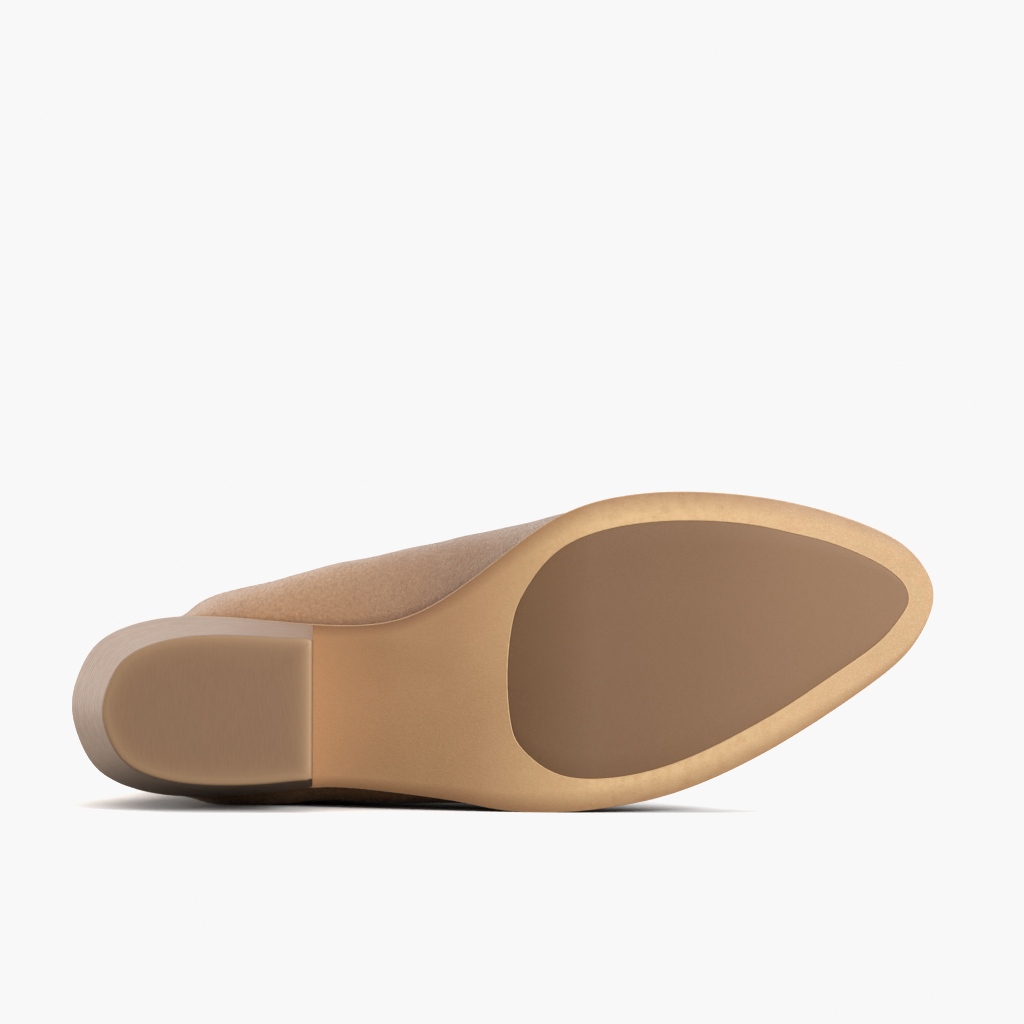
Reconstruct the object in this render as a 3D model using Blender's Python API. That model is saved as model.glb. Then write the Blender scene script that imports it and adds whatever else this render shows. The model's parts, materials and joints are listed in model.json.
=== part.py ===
"""Left ankle boot with a stacked heel and elastic side gores, lying on its outer side.

The boot is modelled standing, in millimetres, and laid down at the end.
Standing frame: x runs from the back of the heel seat to the toe, y to the outer side
of a left foot (the inner side is negative), z up from the ground that it would stand on.
"""

import bmesh
import bpy
import numpy as np
from mathutils import Matrix, Vector

MM = 0.001
FIT_GAP = 0.3            # clearance between pieces that are glued or sewn together

# Sole, seen from below.
SOLE_LENGTH = 268.0
BALL_WIDTH = 95.0
WAIST_WIDTH = 50.6
HEEL_WIDTH = 56.5
TOE_SWING = 35.5         # how far the toe tip lies to the inner side of the heel's axis
SWING_POWER = 1.45

# Sole, seen from the side.
HEEL_HEIGHT = 46.0       # ground to the underside of the sole, at the heel's back
SEAT_SLOPE = 0.12        # fall of the heel seat towards the toe
SHANK_START = 50.0       # where the seat begins to curve down towards the ball
OUTSOLE_THICK = 4.5
TREAD_START = 163.0      # the flat spot under the ball
TREAD_END = 196.0
TOE_SPRING = 9.0
SPRING_POWER = 1.8

# Forefoot pad, let into the sole.
PAD_START = 136.7
PAD_LENGTH = 123.5
PAD_WIDTH = 77.0
PAD_THICK = 1.6

# Heel.
HEEL_LENGTH = 76.0       # along the seat
LIFT_THICK = 6.0
LIFT_LENGTH = 64.0
LIFT_WIDTH = 45.5
LIFT_BREAST_WIDTH = 43.7
LIFT_BEVEL = 0.8
HEEL_CURVE = 1.25        # 1 is a straight taper, more is a hollow one

# Upper.
WALL = 2.2
SHAFT_HEIGHT = 110.0     # heel seat to collar
COLLAR_BACK = 13.0       # how far the collar's back lies ahead of the heel's back
COLLAR_LENGTH = 105.5
INSTEP_HEIGHT = 77.0     # ridge above the sole where the vamp turns into the shaft
FEATHER_MARGIN = 2.4     # sole edge that shows round the forefoot
SEAT_MARGIN = 0.4        # and at the waist and heel
ARCH_OVERHANG = 21.8     # most that the upper stands out over the sole, inner side
OUTER_OVERHANG = 5.4     # and outer side
OUTER_RISE = 13.0        # heights over which it swells out
INNER_RISE = 24.0
SHAFT_TAPER = 0.055      # share by which the inner wall draws in from ankle to collar
SHAFT_REACH = 52.0       # from the front of the shaft to its widest place
TOE_NOSE = 11.0
SECTION_POWER = 2.15

# Insole.
INSOLE_THICK = 2.4
INSOLE_MARGIN = 1.3      # room between the insole and the upper's lining side

# Elastic gores.
GORE_TOP_WIDTH = 50.0
GORE_BOTTOM_WIDTH = 34.0
GORE_DEPTH = 84.0        # collar to the bottom of the gore
GORE_MIDDLE = 54.0       # its middle, from the heel's back
GORE_THICK = 1.2
GORE_LAP = 4.0           # hidden edge sewn behind the leather
GORE_SWELL = 2.6         # how far the elastic swells out in its opening
GORE_CORNER = 2.6        # power of the superellipse at the lower end
GORE_GAP = 0.6           # clearance behind the leather's curved wall

# Mesh fineness.
AROUND = 40              # sections of sole and upper from heel to toe
UPWARD = 20
HEEL_AROUND = 19
HEEL_LAYERS = 9

# Density in g/cm3, for the balance of the boot as it lies.
DENSITY = {"leather": 0.9, "rubber": 1.15, "stack": 0.8, "elastic": 0.7}

# Sole outline: share of SOLE_LENGTH, then its reach from the swing line to each edge.
SOLE_OUTLINE = (
    # along, outer, inner
    (0.010, 0.209 * HEEL_WIDTH, 0.191 * HEEL_WIDTH),
    (0.033, 0.375 * HEEL_WIDTH, 0.347 * HEEL_WIDTH),
    (0.080, 0.490 * HEEL_WIDTH, 0.439 * HEEL_WIDTH),
    (0.142, 0.545 * HEEL_WIDTH, 0.455 * HEEL_WIDTH),
    (0.224, 0.559 * HEEL_WIDTH, 0.401 * HEEL_WIDTH),
    (0.299, 0.620 * WAIST_WIDTH, 0.380 * WAIST_WIDTH),
    (0.386, 0.700 * WAIST_WIDTH, 0.368 * WAIST_WIDTH),
    (0.455, 0.421 * BALL_WIDTH, 0.275 * BALL_WIDTH),
    (0.502, 0.462 * BALL_WIDTH, 0.358 * BALL_WIDTH),
    (0.571, 0.495 * BALL_WIDTH, 0.465 * BALL_WIDTH),
    (0.639, 0.503 * BALL_WIDTH, 0.497 * BALL_WIDTH),
    (0.708, 0.487 * BALL_WIDTH, 0.482 * BALL_WIDTH),
    (0.788, 0.426 * BALL_WIDTH, 0.431 * BALL_WIDTH),
    (0.858, 0.346 * BALL_WIDTH, 0.360 * BALL_WIDTH),
    (0.927, 0.249 * BALL_WIDTH, 0.261 * BALL_WIDTH),
    (0.973, 0.159 * BALL_WIDTH, 0.160 * BALL_WIDTH),
    (0.996, 0.057 * BALL_WIDTH, 0.057 * BALL_WIDTH),
)

# Forefoot pad outline: share of PAD_LENGTH, then shares of PAD_WIDTH.
PAD_OUTLINE = (
    # along, outer, inner
    (0.012, 0.252, 0.168),
    (0.032, 0.325, 0.262),
    (0.107, 0.440, 0.413),
    (0.206, 0.495, 0.481),
    (0.320, 0.504, 0.494),
    (0.454, 0.471, 0.473),
    (0.604, 0.392, 0.417),
    (0.704, 0.326, 0.357),
    (0.804, 0.247, 0.288),
    (0.904, 0.166, 0.194),
    (0.955, 0.105, 0.130),
    (0.992, 0.034, 0.058),
)

# Overhang of the upper past the sole: share of SOLE_LENGTH, then shares of the two overhangs.
OVERHANG = (
    # along, outer, inner
    (0.00, 0.00, 0.00),
    (0.12, 0.12, 0.02),
    (0.14, 0.30, 0.12),
    (0.16, 0.58, 0.29),
    (0.19, 0.72, 0.41),
    (0.225, 0.84, 0.525),
    (0.265, 0.98, 0.72),
    (0.325, 1.00, 0.93),
    (0.385, 0.82, 1.00),
    (0.445, 0.50, 0.84),
    (0.50, 0.32, 0.54),
    (0.55, 0.20, 0.25),
    (0.60, 0.15, 0.08),
    (1.00, 0.10, 0.03),
)

# Ridge of the vamp, toe to instep: share of SOLE_LENGTH, share of INSTEP_HEIGHT above the
# sole, and the reach over which a section rounds off, as a share of SHAFT_REACH.
VAMP_RIDGE = (
    # along, height, reach
    (1.080, 0.020, 0.20),
    (1.000, 0.120, 0.21),
    (0.952, 0.200, 0.23),
    (0.877, 0.298, 0.33),
    (0.784, 0.448, 0.48),
    (0.690, 0.604, 0.70),
    (0.616, 0.745, 0.86),
    (0.552, 0.885, 0.96),
    (0.504, 1.000, 1.00),
)

# Front of the shaft: share of the way from instep to collar, in height and in length.
SHAFT_FRONT = (
    # up, back
    (0.26, 0.52),
    (0.52, 0.82),
    (0.78, 0.96),
    (1.00, 1.00),
    (1.40, 1.00),
)

# Back of the upper: share of SHAFT_HEIGHT, share of COLLAR_BACK.
BACK_CURVE = (
    # up, ahead
    (0.00, 0.03),
    (0.08, -0.05),
    (0.18, -0.07),
    (0.29, 0.03),
    (0.41, 0.32),
    (0.53, 0.60),
    (0.66, 0.84),
    (0.80, 0.98),
    (1.00, 1.00),
)

# Front wall of the toe: share of TOE_NOSE up from the sole, and back from the tip.
NOSE = (
    # up, back
    (0.00, 0.00),
    (0.32, -0.03),
    (0.62, 0.05),
    (0.88, 0.26),
    (1.12, 0.74),
)


def steady(xs, ys):
    """A smooth function through a table that never overshoots it."""
    xs = np.asarray(xs, float)
    ys = np.asarray(ys, float)
    step = np.diff(xs)
    rate = np.diff(ys) / step
    slope = np.zeros(len(xs))
    slope[0], slope[-1] = rate[0], rate[-1]
    for i in range(1, len(xs) - 1):
        if rate[i - 1] * rate[i] > 0:
            near, far = 2 * step[i] + step[i - 1], step[i] + 2 * step[i - 1]
            slope[i] = (near + far) / (near / rate[i - 1] + far / rate[i])

    def value(x):
        x = np.clip(np.asarray(x, float), xs[0], xs[-1])
        i = np.clip(np.searchsorted(xs, x, side="right") - 1, 0, len(xs) - 2)
        t = (x - xs[i]) / step[i]
        return (
            ys[i] * (1 + 2 * t) * (1 - t) ** 2
            + slope[i] * step[i] * t * (1 - t) ** 2
            + ys[i + 1] * t ** 2 * (3 - 2 * t)
            + slope[i + 1] * step[i] * t ** 2 * (t - 1)
        )

    return value


def curve_through(points, count, closed=False):
    """Evenly spaced points of a cubic spline through a few points, open or closed."""
    points = np.asarray(points, float)
    if closed:
        points = np.vstack([points, points[:1]])
    knots = np.concatenate([[0], np.cumsum(np.linalg.norm(np.diff(points, axis=0), axis=1) ** 0.5)])
    n = len(points)
    step = np.diff(knots)
    matrix = np.zeros((n, n))
    right = np.zeros(points.shape)
    for i in range(1, n - 1):
        matrix[i, i - 1:i + 2] = step[i - 1], 2 * (step[i - 1] + step[i]), step[i]
        right[i] = 6 * ((points[i + 1] - points[i]) / step[i] - (points[i] - points[i - 1]) / step[i - 1])
    if closed:
        matrix[0, 0], matrix[0, -1] = 1, -1
        matrix[-1, :2] = 2 * step[0], step[0]
        matrix[-1, -2:] += step[-1], 2 * step[-1]
        right[-1] = 6 * ((points[1] - points[0]) / step[0] - (points[-1] - points[-2]) / step[-1])
    else:
        matrix[0, 0] = matrix[-1, -1] = 1
    bend = np.linalg.solve(matrix, right)
    at = np.linspace(0, knots[-1], count * 4)
    i = np.clip(np.searchsorted(knots, at, side="right") - 1, 0, n - 2)
    ahead, behind, width = (knots[i + 1] - at)[:, None], (at - knots[i])[:, None], step[i][:, None]
    dense = (
        (bend[i] * ahead ** 3 + bend[i + 1] * behind ** 3) / (6 * width)
        + (points[i] / width - bend[i] * width / 6) * ahead
        + (points[i + 1] / width - bend[i + 1] * width / 6) * behind
    )
    return respaced(dense, count)


def respaced(points, count):
    """The same polyline with evenly spaced points."""
    run = np.concatenate([[0], np.cumsum(np.linalg.norm(np.diff(points, axis=0), axis=1))])
    at = np.linspace(0, run[-1], count)
    return np.stack([np.interp(at, run, points[:, k]) for k in range(points.shape[1])], axis=1)


def swing(x):
    """The curved line from heel to toe that the outline and the ridge follow."""
    return -TOE_SWING * (np.clip(x, 0, None) / SOLE_LENGTH) ** SWING_POWER


class Outline:
    """A closed outline in plan, with its outer and inner edge as functions of x."""

    def __init__(self, loop):
        self.loop = loop
        start, end = int(np.argmin(loop[:, 0])), int(np.argmax(loop[:, 0]))
        turned = np.roll(loop, -start, axis=0)
        tip = (end - start) % len(loop)
        self.outer_half = turned[:tip + 1]
        self.inner_half = np.vstack([turned[tip:], turned[:1]])[::-1]
        self.x_low, self.x_high = turned[0, 0], turned[tip, 0]

    def outer(self, x):
        return np.interp(x, self.outer_half[:, 0], self.outer_half[:, 1])

    def inner(self, x):
        return np.interp(x, self.inner_half[:, 0], self.inner_half[:, 1])

    def inset(self, margin):
        """The outline moved inwards by margin, a function of x."""
        ahead = np.roll(self.loop, -1, axis=0) - np.roll(self.loop, 1, axis=0)
        ahead /= np.linalg.norm(ahead, axis=1)[:, None]
        inward = np.stack([ahead[:, 1], -ahead[:, 0]], axis=1)
        return Outline(self.loop + inward * margin(self.loop[:, 0])[:, None])


def outline_from(rows, x_start, length):
    """A closed outline through the rows of a table, rounded at its back and its tip."""
    outer = [(x_start + a * length, swing(x_start + a * length) + o) for a, o, _ in rows]
    inner = [(x_start + a * length, swing(x_start + a * length) - i) for a, _, i in rows]
    back = (x_start, 0.5 * (outer[0][1] + inner[0][1]))
    tip = (x_start + length, swing(x_start + length))
    return Outline(curve_through([back, *outer, tip, *inner[::-1]], 640, closed=True)[:-1])


SOLE = outline_from(SOLE_OUTLINE, 0.0, SOLE_LENGTH)
PAD = outline_from(
    [(a, o * PAD_WIDTH, i * PAD_WIDTH) for a, o, i in PAD_OUTLINE], PAD_START, PAD_LENGTH
)


def margin_of_upper(x):
    """Sole edge that shows outside the upper: narrow at heel and waist, wider round the toe."""
    share = np.clip((x / SOLE_LENGTH - 0.36) / 0.2, 0, 1)
    return SEAT_MARGIN + (FEATHER_MARGIN - SEAT_MARGIN) * share ** 2 * (3 - 2 * share)


FEATHER = SOLE.inset(margin_of_upper)


def under_sole(x):
    """Height of the sole's underside: sloping heel seat, shank, flat tread, toe spring."""
    x = np.asarray(x, float)
    seat = HEEL_HEIGHT - SEAT_SLOPE * x
    run = TREAD_START - SHANK_START
    t = np.clip((x - SHANK_START) / run, 0, 1)
    shank = (HEEL_HEIGHT - SEAT_SLOPE * SHANK_START) * (1 + 2 * t) * (1 - t) ** 2
    shank -= SEAT_SLOPE * run * t * (1 - t) ** 2
    spring = TOE_SPRING * np.clip((x - TREAD_END) / (SOLE_LENGTH - TREAD_END), 0, None) ** SPRING_POWER
    return np.where(x < SHANK_START, seat, shank + spring)


def over_sole(x, lift=0.0):
    """Height of the sole's upper face, or of a surface parallel to it."""
    slope = (under_sole(x + 0.5) - under_sole(x - 0.5))
    return under_sole(x) + (OUTSOLE_THICK + lift) * np.sqrt(1 + slope ** 2)


SEAT_TOP = float(over_sole(0.0))
COLLAR_TOP = SEAT_TOP + SHAFT_HEIGHT
COLLAR_FRONT = COLLAR_BACK + COLLAR_LENGTH


def front_line():
    """Ridge of the vamp and front of the shaft, with the rounding reach of the section there."""
    rows = [
        (a * SOLE_LENGTH, float(over_sole(min(a, 1.0) * SOLE_LENGTH)) + h * INSTEP_HEIGHT, r * SHAFT_REACH)
        for a, h, r in VAMP_RIDGE
    ]
    x_instep, z_instep, _ = rows[-1]
    rows += [
        (x_instep + b * (COLLAR_FRONT - x_instep), z_instep + u * (COLLAR_TOP - z_instep), SHAFT_REACH)
        for u, b in SHAFT_FRONT
    ]
    return curve_through(rows, 700)


FRONT = front_line()
overhang_outer = steady([r[0] * SOLE_LENGTH for r in OVERHANG], [r[1] * OUTER_OVERHANG for r in OVERHANG])
overhang_inner = steady([r[0] * SOLE_LENGTH for r in OVERHANG], [r[2] * ARCH_OVERHANG for r in OVERHANG])
back_ahead = steady([r[0] * SHAFT_HEIGHT for r in BACK_CURVE], [r[1] * COLLAR_BACK for r in BACK_CURVE])
nose_back = steady([r[0] * TOE_NOSE for r in NOSE], [r[1] * TOE_NOSE for r in NOSE])


def back_x(z):
    return back_ahead(z - SEAT_TOP)


def tip_x(z):
    """Front of the toe wall at height z."""
    return FEATHER.x_high - nose_back(z - over_sole(FEATHER.x_high))


def front_rounding(x, z):
    """From 0 on the ridge to 1 where a section is at its full width."""
    shape = x.shape
    points = np.stack([x.ravel(), z.ravel()], axis=1)
    away = np.linalg.norm(points[:, None, :] - FRONT[None, :, :2], axis=2)
    nearest = away.argmin(axis=1)
    depth = np.clip(away.min(axis=1) / FRONT[nearest, 2], 0, 1)
    return ((1 - (1 - depth) ** SECTION_POWER) ** (1 / SECTION_POWER)).reshape(shape)


def side_of_upper(x, z, outer):
    """The y of the upper's outer surface at a place in side view."""
    x, z = np.broadcast_arrays(np.asarray(x, float), np.asarray(z, float))
    near_back = np.clip(1 - (x - back_x(z)) / (SHAFT_REACH + COLLAR_BACK), 0, 1)
    near_tip = np.clip(1 - (tip_x(z) - x) / (2 * TOE_NOSE), 0, 1)
    on_sole = x + (FEATHER.x_low - back_x(z)) * near_back + (FEATHER.x_high - tip_x(z)) * near_tip
    on_sole = np.clip(on_sole, FEATHER.x_low, FEATHER.x_high)
    rise = 1 - (1 - np.clip((z - over_sole(x)) / (OUTER_RISE if outer else INNER_RISE), 0, 1)) ** 2
    if outer:
        edge = FEATHER.outer(on_sole) + overhang_outer(x) * rise
    else:
        edge = FEATHER.inner(on_sole) - overhang_inner(x) * rise
        height = np.clip((z - over_sole(x) - INNER_RISE) / (SHAFT_HEIGHT - INNER_RISE), 0, 1)
        edge = edge + (swing(x) - edge) * SHAFT_TAPER * height
    return swing(x) + (edge - swing(x)) * front_rounding(x, z)


def lengthwise(low, high, end=0.0):
    """Stations from heel to toe, closer together towards both ends."""
    turn = np.linspace(0, np.pi, AROUND + 1)
    turn[[0, -1]] = end, np.pi - end
    return low + (high - low) * (1 - np.cos(turn)) / 2


def side_patch():
    """Places in side view that the upper's mesh takes: rows go up, columns from back to front."""
    along = lengthwise(0, 1)
    foot = lengthwise(FEATHER.x_low, FEATHER.x_high)
    foot = np.stack([foot, over_sole(foot) + FIT_GAP], axis=1)
    top = COLLAR_BACK + along * COLLAR_LENGTH
    top = np.stack([top, np.full_like(top, COLLAR_TOP)], axis=1)
    z_back = np.linspace(foot[0, 1], COLLAR_TOP, 200)
    back = respaced(np.stack([back_x(z_back), z_back], axis=1), UPWARD + 1)
    back[0] = foot[0]
    z_nose = over_sole(FEATHER.x_high) + np.linspace(FIT_GAP, NOSE[-1][0] * TOE_NOSE, 12)
    nose = np.stack([tip_x(z_nose), z_nose], axis=1)
    nose[0] = foot[-1]
    ridge = FRONT[(FRONT[:, 0] < nose[-1, 0] - 3) & (FRONT[:, 1] < COLLAR_TOP), :2]
    front = respaced(np.vstack([nose, ridge, top[-1:]]), UPWARD + 1)
    up = np.linspace(0, 1, UPWARD + 1)[:, None, None]
    ahead = along[None, :, None]
    corners = (
        (1 - up) * ((1 - ahead) * foot[0] + ahead * foot[-1])
        + up * ((1 - ahead) * top[0] + ahead * top[-1])
    )
    return (1 - up) * foot + up * top + (1 - ahead) * back[:, None] + ahead * front[:, None] - corners


def upper_rings():
    """Closed rings of the upper's outer surface, from the sole to the collar."""
    patch = side_patch()
    x, z = patch[..., 0], patch[..., 1]
    outer = side_of_upper(x, z, True)
    inner = side_of_upper(x, z, False)
    for end in (0, -1):
        outer[:, end] = inner[:, end] = swing(x[:, end])
    right = np.stack([x, outer, z], axis=2)
    left = np.stack([x, inner, z], axis=2)[:, -2:0:-1]
    return np.concatenate([right, left], axis=1)


def inner_rings(rings):
    """The rings moved inwards by the wall, level with the sole below and the collar above."""
    around = np.roll(rings, -1, axis=1) - np.roll(rings, 1, axis=1)
    upward = np.gradient(rings, axis=0)
    out = np.cross(upward, around)
    for edge in (0, -1):
        out[edge, :, 2] = 0
    out /= np.linalg.norm(out, axis=2)[..., None]
    inside = rings - WALL * out
    inside[0, :, 2] = over_sole(inside[0, :, 0]) + FIT_GAP
    return inside


def new_object(name, vertices, faces, material, smooth_angle=None):
    """An object in the boot's own frame, from millimetres."""
    mesh = bpy.data.meshes.new(name)
    mesh.from_pydata([tuple(v) for v in np.asarray(vertices) * MM], [], faces)
    work = bmesh.new()
    work.from_mesh(mesh)
    bmesh.ops.recalc_face_normals(work, faces=work.faces)
    work.to_mesh(mesh)
    work.free()
    if smooth_angle is not None:
        mesh.shade_smooth()
        mesh.set_sharp_from_angle(angle=smooth_angle)
    mesh.materials.append(material)
    piece = bpy.data.objects.new(name, mesh)
    bpy.context.scene.collection.objects.link(piece)
    return piece


def grid_faces(rows, columns, start=0, closed=True):
    """Quads between the rows of a grid of vertices, closed round each row or open."""
    last = columns if closed else columns - 1
    return [
        (
            start + r * columns + c,
            start + r * columns + (c + 1) % columns,
            start + (r + 1) * columns + (c + 1) % columns,
            start + (r + 1) * columns + c,
        )
        for r in range(rows - 1)
        for c in range(last)
    ]


def stack_of(name, sections, material, smooth_angle=None):
    """A closed solid through sections of as many points each, flat at both ends."""
    rows, columns = len(sections), len(sections[0])
    faces = grid_faces(rows, columns)
    faces.append(tuple(range(columns))[::-1])
    faces.append(tuple((rows - 1) * columns + c for c in range(columns)))
    return new_object(name, np.concatenate(sections), faces, material, smooth_angle)


def sole_plate(name, outline, low, high, material):
    """A plate between two height functions, with the given outline in plan."""
    x = lengthwise(outline.x_low, outline.x_high, end=0.03)
    corners = (
        (outline.outer(x), low(x)),
        (outline.outer(x), high(x)),
        (outline.inner(x), high(x)),
        (outline.inner(x), low(x)),
    )
    sections = [[(x[i], y[i], z[i]) for y, z in corners] for i in range(len(x))]
    return stack_of(name, sections, material)


def material(name, colour, roughness, metallic=0.0):
    made = bpy.data.materials.new(name)
    made.use_nodes = True
    shader = made.node_tree.nodes["Principled BSDF"]
    shader.inputs["Base Color"].default_value = (*colour, 1.0)
    shader.inputs["Roughness"].default_value = roughness
    shader.inputs["Metallic"].default_value = metallic
    made.diffuse_color = (*colour, 1.0)
    return made


def cut_away(piece, cutter):
    """Subtracts the cutter, which stays in the file as a hidden guide and moves with the piece."""
    cutter.parent = piece
    cutter.hide_render = True
    cutter.display_type = "WIRE"
    boolean = piece.modifiers.new("cut", "BOOLEAN")
    boolean.operation = "DIFFERENCE"
    boolean.solver = "EXACT"
    boolean.object = cutter


def gore_half_width(down):
    """Half the width of a gore's opening at a depth below the collar."""
    share = np.clip(down / GORE_DEPTH, 0, 1)
    taper = GORE_TOP_WIDTH + (GORE_BOTTOM_WIDTH - GORE_TOP_WIDTH) * share
    return taper / 2 * (1 - share ** (2 * GORE_CORNER)) ** (1 / GORE_CORNER)


def gore_cutter(leather):
    """A prism through both sides of the upper with the outline of a gore's opening."""
    down = GORE_DEPTH * np.sin(np.linspace(0, np.pi / 2, 12))
    half = gore_half_width(down)
    ahead = [(GORE_MIDDLE + h, COLLAR_TOP - d) for h, d in zip(half, down)]
    behind = [(GORE_MIDDLE - h, COLLAR_TOP - d) for h, d in zip(half[-2::-1], down[-2::-1])]
    above = COLLAR_TOP + GORE_LAP
    outline = [(GORE_MIDDLE + half[0], above), *ahead, *behind, (GORE_MIDDLE - half[0], above)]
    sections = [[(x, y, z) for x, z in outline] for y in (-BALL_WIDTH, BALL_WIDTH)]
    return stack_of("gore_cutter", sections, leather)


def gore(name, outer, elastic):
    """An elastic panel behind the leather's edges, swelling out a little in its opening."""
    rows, columns = 16, 17
    reach = GORE_DEPTH + GORE_LAP
    down = FIT_GAP + (reach - FIT_GAP) * np.sin(np.linspace(0, np.pi / 2 - 0.12, rows))
    down = down[:, None] * np.ones(columns)
    shrunk = np.clip(down * GORE_DEPTH / reach, 0, GORE_DEPTH)
    half = gore_half_width(shrunk) + GORE_LAP
    across = np.linspace(-1, 1, columns)[None, :]
    x = GORE_MIDDLE + half * across
    z = COLLAR_TOP - down
    opening = np.maximum(gore_half_width(down) - GORE_GAP, GORE_GAP)
    inside = 1 - np.clip(np.abs(x - GORE_MIDDLE) / opening, 0, 1) ** 2
    inside *= np.clip((GORE_DEPTH - down) / (0.35 * GORE_DEPTH), 0, 1)
    swell = GORE_SWELL * np.clip(inside, 0, 1) ** 0.5 * np.clip(inside * 4, 0, 1)
    step = WALL / 4
    y = side_of_upper(x, z, outer)
    slope_x = (side_of_upper(x + step, z, outer) - side_of_upper(x - step, z, outer)) / (2 * step)
    slope_z = (side_of_upper(x, z + step, outer) - side_of_upper(x, z - step, outer)) / (2 * step)
    out = np.stack([-slope_x, np.ones_like(x), -slope_z], axis=2) * (1 if outer else -1)
    out /= np.linalg.norm(out, axis=2)[..., None]
    face = np.stack([x, y, z], axis=2) - out * (WALL + GORE_GAP - swell)[..., None]
    lining = face - out * GORE_THICK
    sections = [np.concatenate([face[r], lining[r][::-1]]) for r in range(rows)]
    return stack_of(name, sections, elastic, smooth_angle=0.9)


def heel_loops():
    """The seat's and the lift's outline, point for point, from breast corner to breast corner."""
    turn = np.linspace(0, np.pi / 2, HEEL_AROUND)
    x = SOLE.x_low + (HEEL_LENGTH - SOLE.x_low) * (1 - np.cos(turn))
    outer, inner = SOLE.outer(x), SOLE.inner(x)
    seat = np.concatenate([
        np.stack([x, outer], axis=1)[::-1],
        np.stack([x, inner], axis=1)[1:],
    ])
    breast_width = float(SOLE.outer(HEEL_LENGTH) - SOLE.inner(HEEL_LENGTH))
    along = seat[:, 0] / HEEL_LENGTH
    narrowing = LIFT_WIDTH / HEEL_WIDTH + (LIFT_BREAST_WIDTH / breast_width - LIFT_WIDTH / HEEL_WIDTH) * along ** 2
    lift = np.stack([
        HEEL_LENGTH - (HEEL_LENGTH - seat[:, 0]) * LIFT_LENGTH / HEEL_LENGTH,
        seat[:, 1] * narrowing,
    ], axis=1)
    return seat, lift


def heel_block(stack):
    """The stacked heel, tapering from the seat to the top lift."""
    seat, lift = heel_loops()
    sections = []
    for share in np.linspace(0, 1, HEEL_LAYERS):
        tapered = 1 - (1 - share) ** HEEL_CURVE
        plan = seat + (lift - seat) * tapered
        top = under_sole(plan[:, 0]) - FIT_GAP
        z = top + (LIFT_THICK + FIT_GAP - top) * share
        sections.append(np.column_stack([plan, z]))
    return stack_of("heel_block", sections, stack, smooth_angle=0.6)


def top_lift(rubber):
    """The heel's rubber tread, with a small bevel round its lower edge."""
    _, plan = heel_loops()
    middle = np.array([HEEL_LENGTH - LIFT_LENGTH / 2, 0.0])
    smaller = 1 - 2 * LIFT_BEVEL / np.array([LIFT_LENGTH, LIFT_WIDTH])
    bevelled = middle + (plan - middle) * smaller
    sections = [
        np.column_stack([loop, np.full(len(loop), z)])
        for loop, z in ((plan, LIFT_THICK), (plan, LIFT_BEVEL), (bevelled, 0.0))
    ]
    return stack_of("top_lift", sections, rubber, smooth_angle=0.4)


def outsole(leather):
    """The leather sole, with a pocket for the forefoot pad."""
    sole = sole_plate("outsole", SOLE, under_sole, over_sole, leather)
    room = PAD.inset(lambda x: np.full_like(x, -FIT_GAP))
    pocket = sole_plate(
        "pad_pocket", room,
        lambda x: under_sole(x) - PAD_THICK,
        lambda x: under_sole(x) + PAD_THICK + FIT_GAP,
        leather,
    )
    cut_away(sole, pocket)
    return sole


def forefoot_pad(rubber):
    """The rubber pad that wears under the ball, flush with the leather."""
    return sole_plate(
        "forefoot_pad", PAD, under_sole, lambda x: under_sole(x) + PAD_THICK, rubber
    )


def insole(leather):
    """The sock that the foot stands on, inside the upper."""
    bed = FEATHER.inset(lambda x: np.full_like(x, WALL + INSOLE_MARGIN))
    return sole_plate(
        "insole", bed,
        lambda x: over_sole(x, FIT_GAP),
        lambda x: over_sole(x, FIT_GAP + INSOLE_THICK),
        leather,
    )


def upper(leather):
    """The leather upper: one wall, open at the collar and underneath, cut out for the gores."""
    outside = upper_rings()
    inside = inner_rings(outside)
    rows, columns, _ = outside.shape
    shell = rows * columns
    faces = grid_faces(rows, columns)
    faces += [face[::-1] for face in grid_faces(rows, columns, start=shell)]
    for row, flip in ((0, True), (rows - 1, False)):
        for c in range(columns):
            a, b = row * columns + c, row * columns + (c + 1) % columns
            rim = (a, b, b + shell, a + shell)
            faces.append(rim[::-1] if flip else rim)
    vertices = np.concatenate([outside.reshape(-1, 3), inside.reshape(-1, 3)])
    piece = new_object("upper", vertices, faces, leather, smooth_angle=0.9)
    cut_away(piece, gore_cutter(leather))
    return piece


def solid_of(piece):
    """World-space triangles of a piece as Blender evaluates it."""
    graph = bpy.context.evaluated_depsgraph_get()
    evaluated = piece.evaluated_get(graph)
    mesh = evaluated.to_mesh()
    mesh.calc_loop_triangles()
    points = np.array([tuple(piece.matrix_world @ v.co) for v in mesh.vertices])
    triangles = np.array([tuple(t.vertices) for t in mesh.loop_triangles])
    evaluated.to_mesh_clear()
    return points, triangles


def centre_of_mass(pieces):
    """Where the boot balances, from each piece's volume and density."""
    total, moment = 0.0, np.zeros(3)
    for piece in pieces:
        points, triangles = solid_of(piece)
        a, b, c = (points[triangles[:, k]] for k in range(3))
        volume = np.einsum("ij,ij->i", a, np.cross(b, c)) / 6
        density = DENSITY[piece.data.materials[0].name.split("_")[0]]
        total += density * volume.sum()
        moment += density * (volume[:, None] * (a + b + c) / 4).sum(axis=0)
    return Vector(moment / total)


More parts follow.
